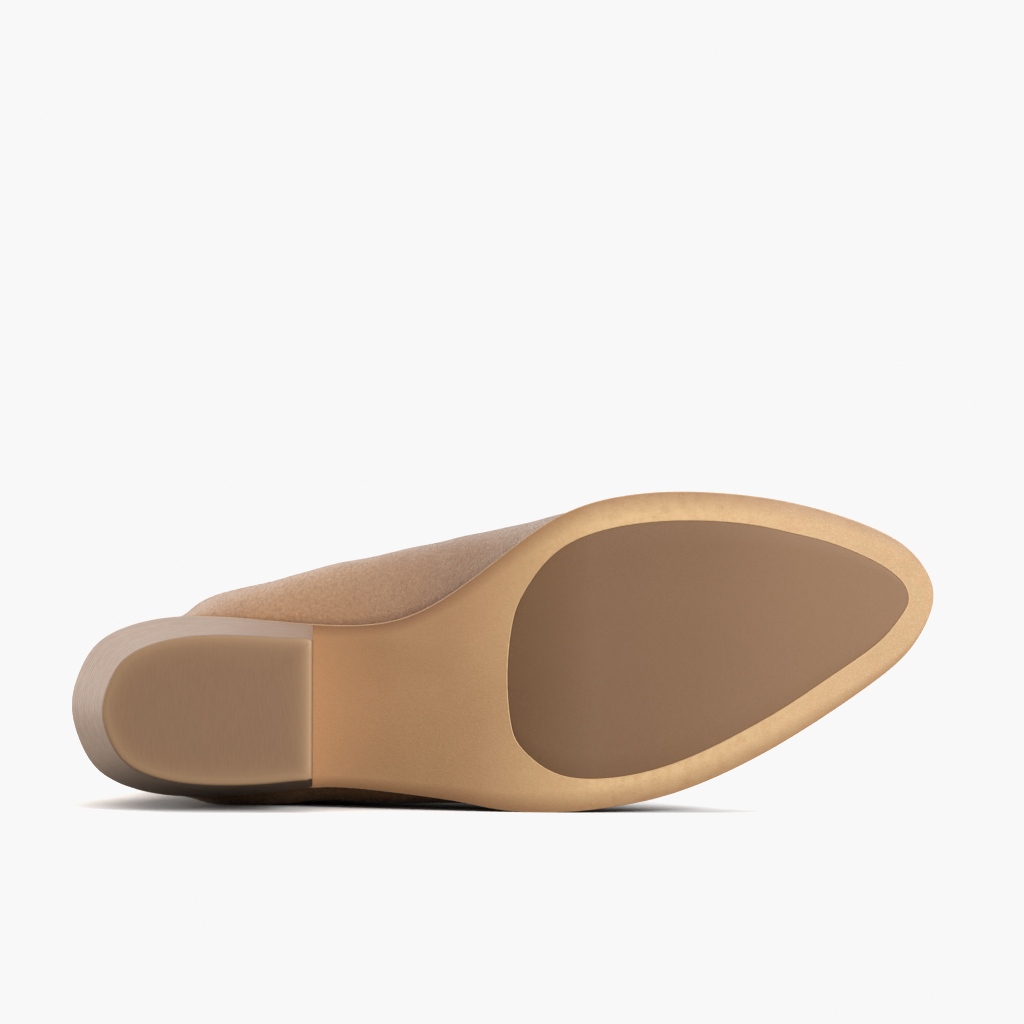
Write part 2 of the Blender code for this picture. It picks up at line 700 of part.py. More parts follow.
def outer_side_rest(pieces):
    """Outward normal of the hull face that carries the boot when it lies on its outer side."""
    hull = bmesh.new()
    for piece in pieces:
        for point in solid_of(piece)[0]:
            hull.verts.new(point)
    bmesh.ops.convex_hull(hull, input=hull.verts)
    hull.normal_update()
    balance = centre_of_mass(pieces)
    found = Vector((0, 0.9, 0))
    for face in hull.faces:
        foot = balance + face.normal * (face.verts[0].co - balance).dot(face.normal)
        under_balance = all(
            (b.co - a.co).cross(foot - a.co).dot(face.normal) >= 0
            for a, b in zip(face.verts[:], face.verts[1:] + face.verts[:1])
        )
        if under_balance and face.normal.y > found.y:
            found = face.normal.copy()
    hull.free()
    return found.normalized()


def lay_down(pieces):
    """Turns the boot onto its outer side and sets it on the floor, the toe towards +X."""
    bpy.context.view_layer.update()
    down = outer_side_rest(pieces)
    ahead = (Vector((1, 0, 0)) - down * down.x).normalized()
    across = (-down).cross(ahead)
    turn = Matrix((ahead, across, -down)).to_4x4()
    holder = bpy.data.objects.new("lying_boot", None)
    bpy.context.scene.collection.objects.link(holder)
    for piece in pieces:
        piece.parent = holder
    holder.matrix_world = turn
    bpy.context.view_layer.update()
    corners = np.concatenate([solid_of(piece)[0] for piece in pieces])
    low, high = corners.min(axis=0), corners.max(axis=0)
    centre = Vector(((low[0] + high[0]) / 2, (low[1] + high[1]) / 2, low[2]))
    holder.matrix_world = Matrix.Translation(-centre) @ turn
    bpy.context.view_layer.update()


def main():
    for old in list(bpy.data.objects):
        bpy.data.objects.remove(old)
    upper_leather = material("leather_upper", (0.53, 0.33, 0.20), 0.5)
    sole_leather = material("leather_sole", (0.58, 0.36, 0.17), 0.55)
    sock_leather = material("leather_sock", (0.60, 0.42, 0.27), 0.6)
    pad_rubber = material("rubber_pad", (0.25, 0.14, 0.08), 0.75)
    lift_rubber = material("rubber_lift", (0.29, 0.17, 0.10), 0.6)
    heel_stack = material("stack_heel", (0.40, 0.31, 0.25), 0.5)
    gore_elastic = material("elastic_gore", (0.16, 0.09, 0.05), 0.85)
    pieces = [
        outsole(sole_leather),
        forefoot_pad(pad_rubber),
        heel_block(heel_stack),
        top_lift(lift_rubber),
        insole(sock_leather),
        upper(upper_leather),
        gore("gore_outer", True, gore_elastic),
        gore("gore_inner", False, gore_elastic),
    ]
    lay_down(pieces)


main()
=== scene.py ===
import json
import math

import bmesh
import bpy
import numpy as np
from mathutils import Matrix, Vector


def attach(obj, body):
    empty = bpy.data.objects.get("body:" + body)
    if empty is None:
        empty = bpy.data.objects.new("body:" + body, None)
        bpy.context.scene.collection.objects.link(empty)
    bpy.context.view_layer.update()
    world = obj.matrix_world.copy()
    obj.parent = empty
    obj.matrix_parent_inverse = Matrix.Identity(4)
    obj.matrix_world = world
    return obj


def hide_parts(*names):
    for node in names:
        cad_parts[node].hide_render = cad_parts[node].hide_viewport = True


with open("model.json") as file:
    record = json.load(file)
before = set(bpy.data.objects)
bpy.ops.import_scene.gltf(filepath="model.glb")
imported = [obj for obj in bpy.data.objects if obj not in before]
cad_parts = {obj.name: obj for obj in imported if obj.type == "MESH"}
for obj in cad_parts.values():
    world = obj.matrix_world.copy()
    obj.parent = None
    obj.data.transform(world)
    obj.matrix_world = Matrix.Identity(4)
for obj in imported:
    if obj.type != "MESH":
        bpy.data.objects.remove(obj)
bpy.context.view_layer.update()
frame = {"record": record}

# Everything here is modelled in the boot's own standing frame, in millimetres, and then laid
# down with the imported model: x runs from the heel's back to the toe, y to the outer side of a
# left foot, z up from the ground that the boot would stand on.
MM = 0.001
FIT_GAP = 0.3

SOLE_LENGTH = 268.0
BALL_WIDTH = 95.0
WAIST_WIDTH = 50.6
HEEL_WIDTH = 56.5
TOE_SWING = 35.5
SWING_POWER = 1.45
HEEL_HEIGHT = 46.0
SEAT_SLOPE = 0.12
SHANK_START = 50.0
OUTSOLE_THICK = 4.5
TREAD_START = 163.0
TREAD_END = 196.0
TOE_SPRING = 9.0
SPRING_POWER = 1.8

PAD_START = 136.7
PAD_LENGTH = 123.5
PAD_WIDTH = 77.0
PAD_THICK = 1.6
PAD_SUNK = 0.06          # how far the pad's face lies below the leather's
PAD_RIM = 0.28           # radius of the leather's rolled edge round the pad

HEEL_LENGTH = 76.0
LIFT_THICK = 6.0
LIFT_LENGTH = 64.0
LIFT_WIDTH = 45.5
LIFT_BREAST_WIDTH = 43.7
LIFT_BEVEL = 0.8
BREAST_LEAN = 0.9        # how far the lift's front edge stands ahead of the seat's
HEEL_CURVE = 1.25
STACK_LAYERS = 20
RINGS_PER_LAYER = 4
LAYER_GROOVE = 0.05

WALL = 2.2
SHAFT_HEIGHT = 110.0
COLLAR_BACK = 13.0
COLLAR_LENGTH = 105.5
INSTEP_HEIGHT = 77.0
FEATHER_MARGIN = 2.4
SEAT_MARGIN = 0.4
ARCH_OVERHANG = 21.8
OUTER_OVERHANG = 5.4
OUTER_RISE = 13.0
INNER_RISE = 24.0
SHAFT_TAPER = 0.055
SHAFT_REACH = 52.0
TOE_NOSE = 11.0
SECTION_POWER = 2.15

INSOLE_THICK = 2.4
INSOLE_MARGIN = 1.3

GORE_TOP_WIDTH = 50.0
GORE_BOTTOM_WIDTH = 34.0
GORE_DEPTH = 84.0
GORE_MIDDLE = 54.0
GORE_THICK = 1.2
GORE_LAP = 4.0
GORE_SWELL = 2.6
GORE_CORNER = 2.6
GORE_GAP = 0.6
RIB_PITCH = 1.6
RIB_HEIGHT = 0.16

TOE_WALL_START = 45.0    # where the scene's wall begins to thin, behind the toe
TOE_WALL_SHARE = 0.3     # and its share of WALL at the tip
TOE_LEATHER_START = 0.85 # ahead of this share of the sole the inner face is plain leather

STITCH_ROWS = (2.3, 4.6) # outside a gore's edge
COLLAR_STITCH = 3.4      # below the collar
BACK_STITCH = 0.75       # ahead of the back seam
THREAD_RISE = 0.06
STITCH_PITCH = 3.0
STITCH_LENGTH = 2.2
THREAD_RADIUS = 0.27

SOLE_OUTLINE = [
    (along, outer * width, inner * width) for width, rows in (
        # along, outer, inner
        (HEEL_WIDTH, (
            (0.010, 0.209, 0.191), (0.033, 0.375, 0.347), (0.080, 0.490, 0.439), (0.142, 0.545, 0.455),
            (0.224, 0.559, 0.401),
        )),
        (WAIST_WIDTH, (
            (0.299, 0.620, 0.380), (0.386, 0.700, 0.368),
        )),
        (BALL_WIDTH, (
            (0.455, 0.421, 0.275), (0.502, 0.462, 0.358), (0.571, 0.495, 0.465), (0.639, 0.503, 0.497),
            (0.708, 0.487, 0.482), (0.788, 0.426, 0.431), (0.858, 0.346, 0.360), (0.927, 0.249, 0.261),
            (0.973, 0.159, 0.160), (0.996, 0.057, 0.057),
        )),
    ) for along, outer, inner in rows
]

PAD_OUTLINE = (
    # along, outer, inner
    (0.012, 0.252, 0.168),
    (0.032, 0.325, 0.262),
    (0.107, 0.440, 0.413),
    (0.206, 0.495, 0.481),
    (0.320, 0.504, 0.494),
    (0.454, 0.471, 0.473),
    (0.604, 0.392, 0.417),
    (0.704, 0.326, 0.357),
    (0.804, 0.247, 0.288),
    (0.904, 0.166, 0.194),
    (0.955, 0.105, 0.130),
    (0.992, 0.034, 0.058),
)

OVERHANG = (
    # along, outer, inner
    (0.00, 0.00, 0.00),
    (0.124, 0.14, 0.00),
    (0.131, 0.20, 0.06),
    (0.142, 0.32, 0.17),
    (0.16, 0.58, 0.29),
    (0.19, 0.72, 0.41),
    (0.225, 0.84, 0.54),
    (0.265, 0.98, 0.72),
    (0.325, 1.00, 0.93),
    (0.385, 0.82, 1.00),
    (0.445, 0.50, 0.84),
    (0.50, 0.32, 0.53),
    (0.55, 0.20, 0.24),
    (0.60, 0.15, 0.08),
    (1.00, 0.10, 0.03),
)

VAMP_RIDGE = (
    # along, height, reach
    (1.080, 0.020, 0.20),
    (1.000, 0.120, 0.21),
    (0.952, 0.200, 0.23),
    (0.877, 0.298, 0.33),
    (0.784, 0.448, 0.48),
    (0.690, 0.604, 0.70),
    (0.616, 0.745, 0.86),
    (0.552, 0.885, 0.96),
    (0.504, 1.000, 1.00),
)

SHAFT_FRONT = (
    # up, back
    (0.26, 0.52),
    (0.52, 0.82),
    (0.78, 0.96),
    (1.00, 1.00),
    (1.40, 1.00),
)

BACK_CURVE = (
    # up, ahead
    (0.00, 0.03),
    (0.08, -0.05),
    (0.18, -0.07),
    (0.29, 0.03),
    (0.41, 0.32),
    (0.53, 0.60),
    (0.66, 0.84),
    (0.80, 0.98),
    (1.00, 1.00),
)

NOSE = (
    # up, back
    (0.00, 0.00),
    (0.32, -0.03),
    (0.62, 0.05),
    (0.88, 0.26),
    (1.12, 0.74),
)

# Soft creases, in side view: place as shares of SOLE_LENGTH and SHAFT_HEIGHT (over the sole),
# direction in degrees from level, then half length, half width and depth.
CREASES = (
    # side, along, up, direction, length, width, depth
    (+1, 0.455, 0.640, -38, 21.0, 4.6, 0.75),
    (-1, 0.458, 0.640, -34, 19.0, 4.2, 0.20),
    (+1, 0.400, 0.520, -30, 17.0, 4.8, 0.45),
    (-1, 0.405, 0.540, -26, 17.0, 5.0, 0.24),
    (+1, 0.130, 0.470, 12, 15.0, 4.6, 0.45),
    (-1, 0.135, 0.520, 8, 14.0, 4.2, 0.22),
    (+1, 0.610, 0.330, 66, 17.0, 4.0, 0.42),
    (-1, 0.605, 0.310, 70, 18.0, 4.0, 0.40),
    (+1, 0.668, 0.260, 62, 14.0, 3.6, 0.32),
    (-1, 0.660, 0.250, 66, 15.0, 3.6, 0.34),
)


def steady(xs, ys):
    """A smooth function through a table that never overshoots it."""
    xs = np.asarray(xs, float)
    ys = np.asarray(ys, float)
    step = np.diff(xs)
    rate = np.diff(ys) / step
    slope = np.zeros(len(xs))
    slope[0], slope[-1] = rate[0], rate[-1]
    for i in range(1, len(xs) - 1):
        if rate[i - 1] * rate[i] > 0:
            near, far = 2 * step[i] + step[i - 1], step[i] + 2 * step[i - 1]
            slope[i] = (near + far) / (near / rate[i - 1] + far / rate[i])

    def value(x):
        x = np.clip(np.asarray(x, float), xs[0], xs[-1])
        i = np.clip(np.searchsorted(xs, x, side="right") - 1, 0, len(xs) - 2)
        t = (x - xs[i]) / step[i]
        return (
            ys[i] * (1 + 2 * t) * (1 - t) ** 2
            + slope[i] * step[i] * t * (1 - t) ** 2
            + ys[i + 1] * t ** 2 * (3 - 2 * t)
            + slope[i + 1] * step[i] * t ** 2 * (t - 1)
        )

    return value


def run_along(points, power=1.0):
    """Length of a polyline up to each of its points; a power evens out long and short steps."""
    return np.concatenate([[0], np.cumsum(np.linalg.norm(np.diff(points, axis=0), axis=1) ** power)])


def sideways(loop):
    """Unit vectors across a closed loop in plan."""
    ahead = np.roll(loop, -1, axis=0) - np.roll(loop, 1, axis=0)
    ahead /= np.linalg.norm(ahead, axis=1)[:, None]
    return np.stack([ahead[:, 1], -ahead[:, 0]], axis=1)


def respaced(points, count):
    """The same polyline with evenly spaced points."""
    run = run_along(points)
    at = np.linspace(0, run[-1], count)
    return np.stack([np.interp(at, run, points[:, k]) for k in range(points.shape[1])], axis=1)


def curve_through(points, count, closed=False):
    """Evenly spaced points of a cubic spline through a few points, open or closed."""
    points = np.asarray(points, float)
    if closed:
        points = np.vstack([points, points[:1]])
    knots = run_along(points, 0.5)
    n = len(points)
    step = np.diff(knots)
    rate = np.diff(points, axis=0) / step[:, None]
    matrix = np.zeros((n, n))
    right = np.zeros(points.shape)
    for i in range(1, n - 1):
        matrix[i, i - 1:i + 2] = step[i - 1], 2 * (step[i - 1] + step[i]), step[i]
        right[i] = 6 * (rate[i] - rate[i - 1])
    if closed:
        matrix[0, 0], matrix[0, -1] = 1, -1
        matrix[-1, :2] = 2 * step[0], step[0]
        matrix[-1, -2:] += step[-1], 2 * step[-1]
        right[-1] = 6 * (rate[0] - rate[-1])
    else:
        matrix[0, 0] = matrix[-1, -1] = 1
    bend = np.linalg.solve(matrix, right)
    at = np.linspace(0, knots[-1], count * 4)
    i = np.clip(np.searchsorted(knots, at, side="right") - 1, 0, n - 2)
    ahead, behind, width = (knots[i + 1] - at)[:, None], (at - knots[i])[:, None], step[i][:, None]
    dense = (
        (bend[i] * ahead ** 3 + bend[i + 1] * behind ** 3) / (6 * width)
        + (points[i] / width - bend[i] * width / 6) * ahead
        + (points[i + 1] / width - bend[i + 1] * width / 6) * behind
    )
    return respaced(dense, count)


def swing(x):
    """The curved line from heel to toe that the outline and the ridge follow."""
    return -TOE_SWING * (np.clip(x, 0, None) / SOLE_LENGTH) ** SWING_POWER


class Outline:
    """A closed outline in plan, with its outer and inner edge as functions of x."""

    def __init__(self, loop):
        self.loop = loop
        start, end = int(np.argmin(loop[:, 0])), int(np.argmax(loop[:, 0]))
        turned = np.roll(loop, -start, axis=0)
        tip = (end - start) % len(loop)
        self.outer_half = turned[:tip + 1]
        self.inner_half = np.vstack([turned[tip:], turned[:1]])[::-1]
        self.x_low, self.x_high = turned[0, 0], turned[tip, 0]

    def outer(self, x):
        return np.interp(x, self.outer_half[:, 0], self.outer_half[:, 1])

    def inner(self, x):
        return np.interp(x, self.inner_half[:, 0], self.inner_half[:, 1])

    def inset(self, margin):
        """The outline moved inwards by a margin, a number or a function of x."""
        reach = margin(self.loop[:, 0])[:, None] if callable(margin) else margin
        return Outline(self.loop + sideways(self.loop) * reach)


def outline_from(rows, x_start, length):
    """A closed outline through the rows of a table, rounded at its back and its tip."""
    outer = [(x_start + a * length, swing(x_start + a * length) + o) for a, o, _ in rows]
    inner = [(x_start + a * length, swing(x_start + a * length) - i) for a, _, i in rows]
    back = (x_start, 0.5 * (outer[0][1] + inner[0][1]))
    tip = (x_start + length, swing(x_start + length))
    return Outline(curve_through([back, *outer, tip, *inner[::-1]], 1400, closed=True)[:-1])


SOLE = outline_from(SOLE_OUTLINE, 0.0, SOLE_LENGTH)
PAD = outline_from(
    [(a, o * PAD_WIDTH, i * PAD_WIDTH) for a, o, i in PAD_OUTLINE], PAD_START, PAD_LENGTH
)


def margin_of_upper(x):
    """Sole edge that shows outside the upper: narrow at heel and waist, wider round the toe."""
    share = np.clip((x / SOLE_LENGTH - 0.36) / 0.2, 0, 1)
    return SEAT_MARGIN + (FEATHER_MARGIN - SEAT_MARGIN) * share ** 2 * (3 - 2 * share)


FEATHER = SOLE.inset(margin_of_upper)


def under_sole(x):
    """Height of the sole's underside: sloping heel seat, shank, flat tread, toe spring."""
    x = np.asarray(x, float)
    seat = HEEL_HEIGHT - SEAT_SLOPE * x
    run = TREAD_START - SHANK_START
    t = np.clip((x - SHANK_START) / run, 0, 1)
    shank = (HEEL_HEIGHT - SEAT_SLOPE * SHANK_START) * (1 + 2 * t) * (1 - t) ** 2
    shank -= SEAT_SLOPE * run * t * (1 - t) ** 2
    spring = TOE_SPRING * np.clip((x - TREAD_END) / (SOLE_LENGTH - TREAD_END), 0, None) ** SPRING_POWER
    return np.where(x < SHANK_START, seat, shank + spring)


def over_sole(x, lift=0.0):
    """Height of the sole's upper face, or of a surface parallel to it."""
    slope = (under_sole(x + 0.5) - under_sole(x - 0.5))
    return under_sole(x) + (OUTSOLE_THICK + lift) * np.sqrt(1 + slope ** 2)


SEAT_TOP = float(over_sole(0.0))
COLLAR_TOP = SEAT_TOP + SHAFT_HEIGHT
COLLAR_FRONT = COLLAR_BACK + COLLAR_LENGTH


def front_line():
    """Ridge of the vamp and front of the shaft, with the rounding reach of the section there."""
    rows = []
    for along, height, reach in VAMP_RIDGE:
        foot = float(over_sole(min(along, 1.0) * SOLE_LENGTH))
        rows.append((along * SOLE_LENGTH, foot + height * INSTEP_HEIGHT, reach * SHAFT_REACH))
    x_instep, z_instep, _ = rows[-1]
    rows += [
        (x_instep + b * (COLLAR_FRONT - x_instep), z_instep + u * (COLLAR_TOP - z_instep), SHAFT_REACH)
        for u, b in SHAFT_FRONT
    ]
    return curve_through(rows, 700)


FRONT = front_line()


def from_table(table, across, *sizes):
    """A smooth function for each further column of a table, with the sizes that they are shares of."""
    columns = np.array(table).T
    return [steady(columns[0] * across, columns[k + 1] * size) for k, size in enumerate(sizes)]


overhang_outer, overhang_inner = from_table(OVERHANG, SOLE_LENGTH, OUTER_OVERHANG, ARCH_OVERHANG)
(back_ahead,) = from_table(BACK_CURVE, SHAFT_HEIGHT, COLLAR_BACK)
(nose_back,) = from_table(NOSE, TOE_NOSE, TOE_NOSE)


def back_x(z):
    return back_ahead(z - SEAT_TOP)


def tip_x(z):
    """Front of the toe wall at height z."""
    return FEATHER.x_high - nose_back(z - over_sole(FEATHER.x_high))


def front_rounding(x, z):
    """From 0 on the ridge to 1 where a section is at its full width."""
    points = np.stack([x.ravel(), z.ravel()], axis=1)
    start, run = FRONT[:-1, :2], np.diff(FRONT[:, :2], axis=0)
    length = (run ** 2).sum(axis=1)
    depth = np.empty(len(points))
    for first in range(0, len(points), 4000):
        part = points[first:first + 4000]
        nearest = np.linalg.norm(part[:, None] - FRONT[None, :, :2], axis=2).argmin(axis=1)
        best = np.full(len(part), np.inf)
        for shift in (-1, 0):
            k = np.clip(nearest + shift, 0, len(run) - 1)
            t = np.clip(((part - start[k]) * run[k]).sum(axis=1) / length[k], 0, 1)
            best = np.minimum(best, np.linalg.norm(part - start[k] - run[k] * t[:, None], axis=1))
        depth[first:first + 4000] = np.clip(best / FRONT[nearest, 2], 0, 1)
    return ((1 - (1 - depth) ** SECTION_POWER) ** (1 / SECTION_POWER)).reshape(x.shape)


def side_of_upper(x, z, outer):
    """The y of the upper's outer surface at a place in side view."""
    x, z = np.broadcast_arrays(np.asarray(x, float), np.asarray(z, float))
    near_back = np.clip(1 - (x - back_x(z)) / (SHAFT_REACH + COLLAR_BACK), 0, 1)
    near_tip = np.clip(1 - (tip_x(z) - x) / (2 * TOE_NOSE), 0, 1)
    on_sole = x + (FEATHER.x_low - back_x(z)) * near_back + (FEATHER.x_high - tip_x(z)) * near_tip
    on_sole = np.clip(on_sole, FEATHER.x_low, FEATHER.x_high)
    rise = 1 - (1 - np.clip((z - over_sole(x)) / (OUTER_RISE if outer else INNER_RISE), 0, 1)) ** 2
    if outer:
        edge = FEATHER.outer(on_sole) + overhang_outer(x) * rise
    else:
        edge = FEATHER.inner(on_sole) - overhang_inner(x) * rise
        height = np.clip((z - over_sole(x) - INNER_RISE) / (SHAFT_HEIGHT - INNER_RISE), 0, 1)
        edge = edge + (swing(x) - edge) * SHAFT_TAPER * height
    return swing(x) + (edge - swing(x)) * front_rounding(x, z)


def lengthwise(low, high, count):
    """Stations from heel to toe, closer together towards both ends."""
    return low + (high - low) * (1 - np.cos(np.linspace(0, np.pi, count + 1))) / 2


def smooth_step(t):
    t = np.clip(t, 0, 1)
    return t * t * (3 - 2 * t)


# Laying the boot down: the record's two flat faces and where they lie on the standing boot.
LIFT_POINT = Vector((45.0, 0.0, 0.0))
TREAD_POINT = Vector((180.0, -20.0, 0.0))


def lying_frame():
    """The matrix from the boot's standing frame, in millimetres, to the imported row's frame."""
    mounts = {m["name"]: m for m in frame["record"]["mounts"]}
    lift, tread = (Vector(mounts[n]["pos_m"]) for n in ("lift_face", "tread_face"))
    up = -Vector(mounts["lift_face"]["axis"]).normalized()
    ahead = tread - lift
    ahead = (ahead - up * ahead.dot(up)).normalized()
    lying = Matrix((ahead, up, ahead.cross(up))).transposed()
    along = (TREAD_POINT - LIFT_POINT).normalized()
    standing = Matrix((along, Vector((0, 0, 1)), along.cross(Vector((0, 0, 1)))))
    turn = lying @ standing
    place = (turn * MM).to_4x4()
    place.translation = lift - turn @ (LIFT_POINT * MM)
    return place


LAY = lying_frame()
LAY_TURN = np.array(LAY.to_3x3())
LAY_SHIFT = np.array(LAY.translation)
TO_BOOT = np.linalg.inv(LAY_TURN)


def laid(points):
    return np.asarray(points, float) @ LAY_TURN.T + LAY_SHIFT


def standing_points(piece):
    """A piece's vertices in the boot's standing frame."""
    flat = np.empty(len(piece.data.vertices) * 3)
    piece.data.vertices.foreach_get("co", flat)
    return (flat.reshape(-1, 3) - LAY_SHIFT) @ TO_BOOT.T


def placed(name, data):
    """An object with this data, linked into the scene."""
    made = bpy.data.objects.new(name, data)
    bpy.context.scene.collection.objects.link(made)
    return made


def new_piece(name, points, faces, materials, indices=None, angle=0.7, ride=True):
    """A piece from standing-frame points; indices gives each face its material."""
    mesh = bpy.data.meshes.new(name)
    mesh.from_pydata(laid(points).tolist(), [], faces)
    for made in materials:
        mesh.materials.append(made)
    if indices is not None:
        mesh.polygons.foreach_set("material_index", np.asarray(indices, dtype=np.int32))
    work = bmesh.new()
    work.from_mesh(mesh)
    bmesh.ops.recalc_face_normals(work, faces=work.faces)
    work.to_mesh(mesh)
    work.free()
    mesh.shade_smooth()
    mesh.set_sharp_from_angle(angle=angle)
    piece = placed(name, mesh)
    if ride:
        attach(piece, "root")
    return piece


def ring_faces(rows, columns):
    """Quads between closed rings of vertices."""
    quads = []
    for low in range(0, (rows - 1) * columns, columns):
        for c in range(columns):
            after = (c + 1) % columns
            quads.append((low + c, low + after, low + columns + after, low + columns + c))
    return quads


def capped_faces(rows, columns):
    """The same with a flat cap at both ends."""
    last = (rows - 1) * columns
    return ring_faces(rows, columns) + [tuple(range(columns))[::-1], tuple(range(last, last + columns))]


def looped_faces(rows, columns):
    """The same with the last ring joined to the first."""
    return [tuple(v % (rows * columns) for v in quad) for quad in ring_faces(rows + 1, columns)]


def cut(piece, cutter):
    """Subtracts the cutter at once and removes it; its faces bring their own material."""
    boolean = piece.modifiers.new("cut", "BOOLEAN")
    boolean.operation = "DIFFERENCE"
    boolean.solver = "EXACT"
    boolean.material_mode = "TRANSFER"
    boolean.object = cutter
    graph = bpy.context.evaluated_depsgraph_get()
    made = bpy.data.meshes.new_from_object(piece.evaluated_get(graph))
    piece.modifiers.clear()
    piece.data = made
    bpy.data.objects.remove(cutter)


def set_attribute(piece, name, values):
    attribute = piece.data.attributes.new(name, "FLOAT", "POINT")
    attribute.data.foreach_set("value", np.asarray(values, dtype=np.float32))


# Materials.


class Look:
    """A Principled material with short ways to add nodes; texture space is in millimetres."""

    def __init__(self, name, colour, roughness, **constants):
        self.made = bpy.data.materials.new(name)
        self.made.use_nodes = True
        self.tree = self.made.node_tree
        self.shader = self.tree.nodes["Principled BSDF"]
        self.shader.inputs["Base Color"].default_value = (*colour, 1.0)
        self.shader.inputs["Roughness"].default_value = roughness
        for key, value in constants.items():
            self.shader.inputs[key.replace("_", " ")].default_value = value
        place = self.tree.nodes.new("ShaderNodeTexCoord")
        scale = self.tree.nodes.new("ShaderNodeMapping")
        scale.inputs["Scale"].default_value = (1000, 1000, 1000)
        self.tree.links.new(place.outputs["Object"], scale.inputs["Vector"])
        self.space = scale.outputs["Vector"]

    def node(self, kind, sockets=None, **settings):
        made = self.tree.nodes.new("ShaderNode" + kind)
        for key, value in settings.items():
            setattr(made, key, value)
        for key, value in (sockets or {}).items():
            if isinstance(value, bpy.types.NodeSocket):
                self.tree.links.new(value, made.inputs[key])
            else:
                made.inputs[key].default_value = value
        return made

    def stretched(self, scale, turn=(0, 0, 0)):
        sockets = {"Vector": self.space, "Scale": scale, "Rotation": turn}
        return self.node("Mapping", sockets).outputs["Vector"]

    def along(self, *limits):
        """A ramp between two places from heel to toe."""
        return self.ramp(self.node("SeparateXYZ", {"Vector": self.space}).outputs["X"], *limits)

    def noise(self, scale, detail=2.0, roughness=0.5, distortion=0.0, vector=None):
        sockets = {
            "Vector": vector or self.space, "Scale": scale, "Detail": detail,
            "Roughness": roughness, "Distortion": distortion,
        }
        return self.node("TexNoise", sockets).outputs["Fac"]

    def cells(self, scale, feature, vector):
        sockets = {"Vector": vector, "Scale": scale}
        return self.node("TexVoronoi", sockets, feature=feature).outputs["Distance"]

    def ramp(self, value, low, high, start=0.0, end=1.0):
        """Value from low..high to start..end, held at both ends."""
        sockets = {"Value": value, "From Min": low, "From Max": high, "To Min": start, "To Max": end}
        return self.node("MapRange", sockets).outputs["Result"]

    def math(self, operation, a, b=0.0):
        return self.node("Math", {0: a, 1: b}, operation=operation).outputs["Value"]

    def total(self, *terms):
        """The sum of values, each with its weight."""
        made = 0.0
        for value, weight in terms:
            made = self.math("ADD", made, self.math("MULTIPLY", value, weight))
        return made

    def mix(self, factor, a, b):
        """Blends two tones; a plain colour is given in screen values."""
        made = self.node("Mix", data_type="RGBA")
        for socket, value in ((made.inputs[0], factor), (made.inputs[6], a), (made.inputs[7], b)):
            if isinstance(value, bpy.types.NodeSocket):
                self.tree.links.new(value, socket)
            elif isinstance(value, tuple):
                socket.default_value = (*srgb(*value), 1.0)
            else:
                socket.default_value = value
        return made.outputs[2]

    def attribute(self, name):
        return self.node("Attribute", attribute_name=name).outputs["Fac"]

    def bump(self, height, distance, strength):
        sockets = {"Height": height, "Distance": distance * MM, "Strength": strength}
        return self.node("Bump", sockets).outputs["Normal"]

    def finish(self, colour=None, roughness=None, normal=None):
        for key, value in (("Base Color", colour), ("Roughness", roughness), ("Normal", normal)):
            if value is not None:
                self.tree.links.new(value, self.shader.inputs[key])
        return self.made


def srgb(red, green, blue):
    """Linear colour from the 0..255 values that a screen shows."""
    return tuple(
        (c / 255 / 12.92) if c <= 10.3 else ((c / 255 + 0.055) / 1.055) ** 2.4
        for c in (red, green, blue)
    )


def upper_leather():
    look = Look("upper_leather", srgb(174, 130, 96), 0.42, Coat_Weight=0.28, Coat_Roughness=0.36,
                Sheen_Weight=0.14, Sheen_Roughness=0.35)
    drift = look.stretched((1.0, 0.32, 0.75))
    shift = look.node("TexNoise", {"Vector": drift, "Scale": 1.1}).outputs["Color"]
    wander = look.node("VectorMath", {0: drift, 1: shift}, operation="ADD").outputs["Vector"]
    pebbles = look.cells(1.2, "SMOOTH_F1", wander)
    pits = look.cells(3.0, "F1", wander)
    fine = look.noise(3.0, 3.0, 0.6, 0.0, drift)
    height = look.total((pebbles, -0.9), (pits, -0.35), (fine, 0.4))
    cloud = look.noise(0.035, 3.0, 0.55)
    tone = look.mix(look.ramp(cloud, 0.35, 0.68), (188, 136, 87), (200, 148, 98))
    # Painted shade: the upper turns darker towards the toe, over the waist, where the sole's edge
    # shades it.
    tone = look.mix(look.along(-70.0, -12.0, 0.0, 0.66), tone, (132, 88, 50))
    tone = look.mix(look.ramp(pebbles, 0.28, 0.68, 0.0, 0.42), tone, (140, 96, 62))
    # Painted highlights: light flecks on the grain that stand in for glints.
    tone = look.mix(look.ramp(fine, 0.55, 0.70, 0.0, 0.50), tone, (232, 192, 148))
    # Painted shade from the seam mask: darker in the grooves at the sole, the gore edges and the back
    # seam, and in a faint band above the sole.
    tone = look.mix(look.attribute("seam"), tone, (112, 66, 44))
    rough = look.ramp(look.noise(0.12, 2.0), 0.3, 0.7, 0.36, 0.46)
    return look.finish(tone, rough, look.bump(height, 0.6, 0.9))


def soft_leather(name, roughness, cloud, fine, strength, colour, dark, light):
    """Plain leather inside the boot."""
    look = Look(name, colour, roughness)
    tone = look.mix(look.ramp(look.noise(cloud, 3.0), 0.3, 0.7), dark, light)
    return look.finish(tone, None, look.bump(look.noise(*fine), 0.12, strength))


def two_tone(name, roughness, scale, colour, dark, light):
    look = Look(name, colour, roughness)
    return look.finish(look.mix(look.noise(scale, 2.0), dark, light))


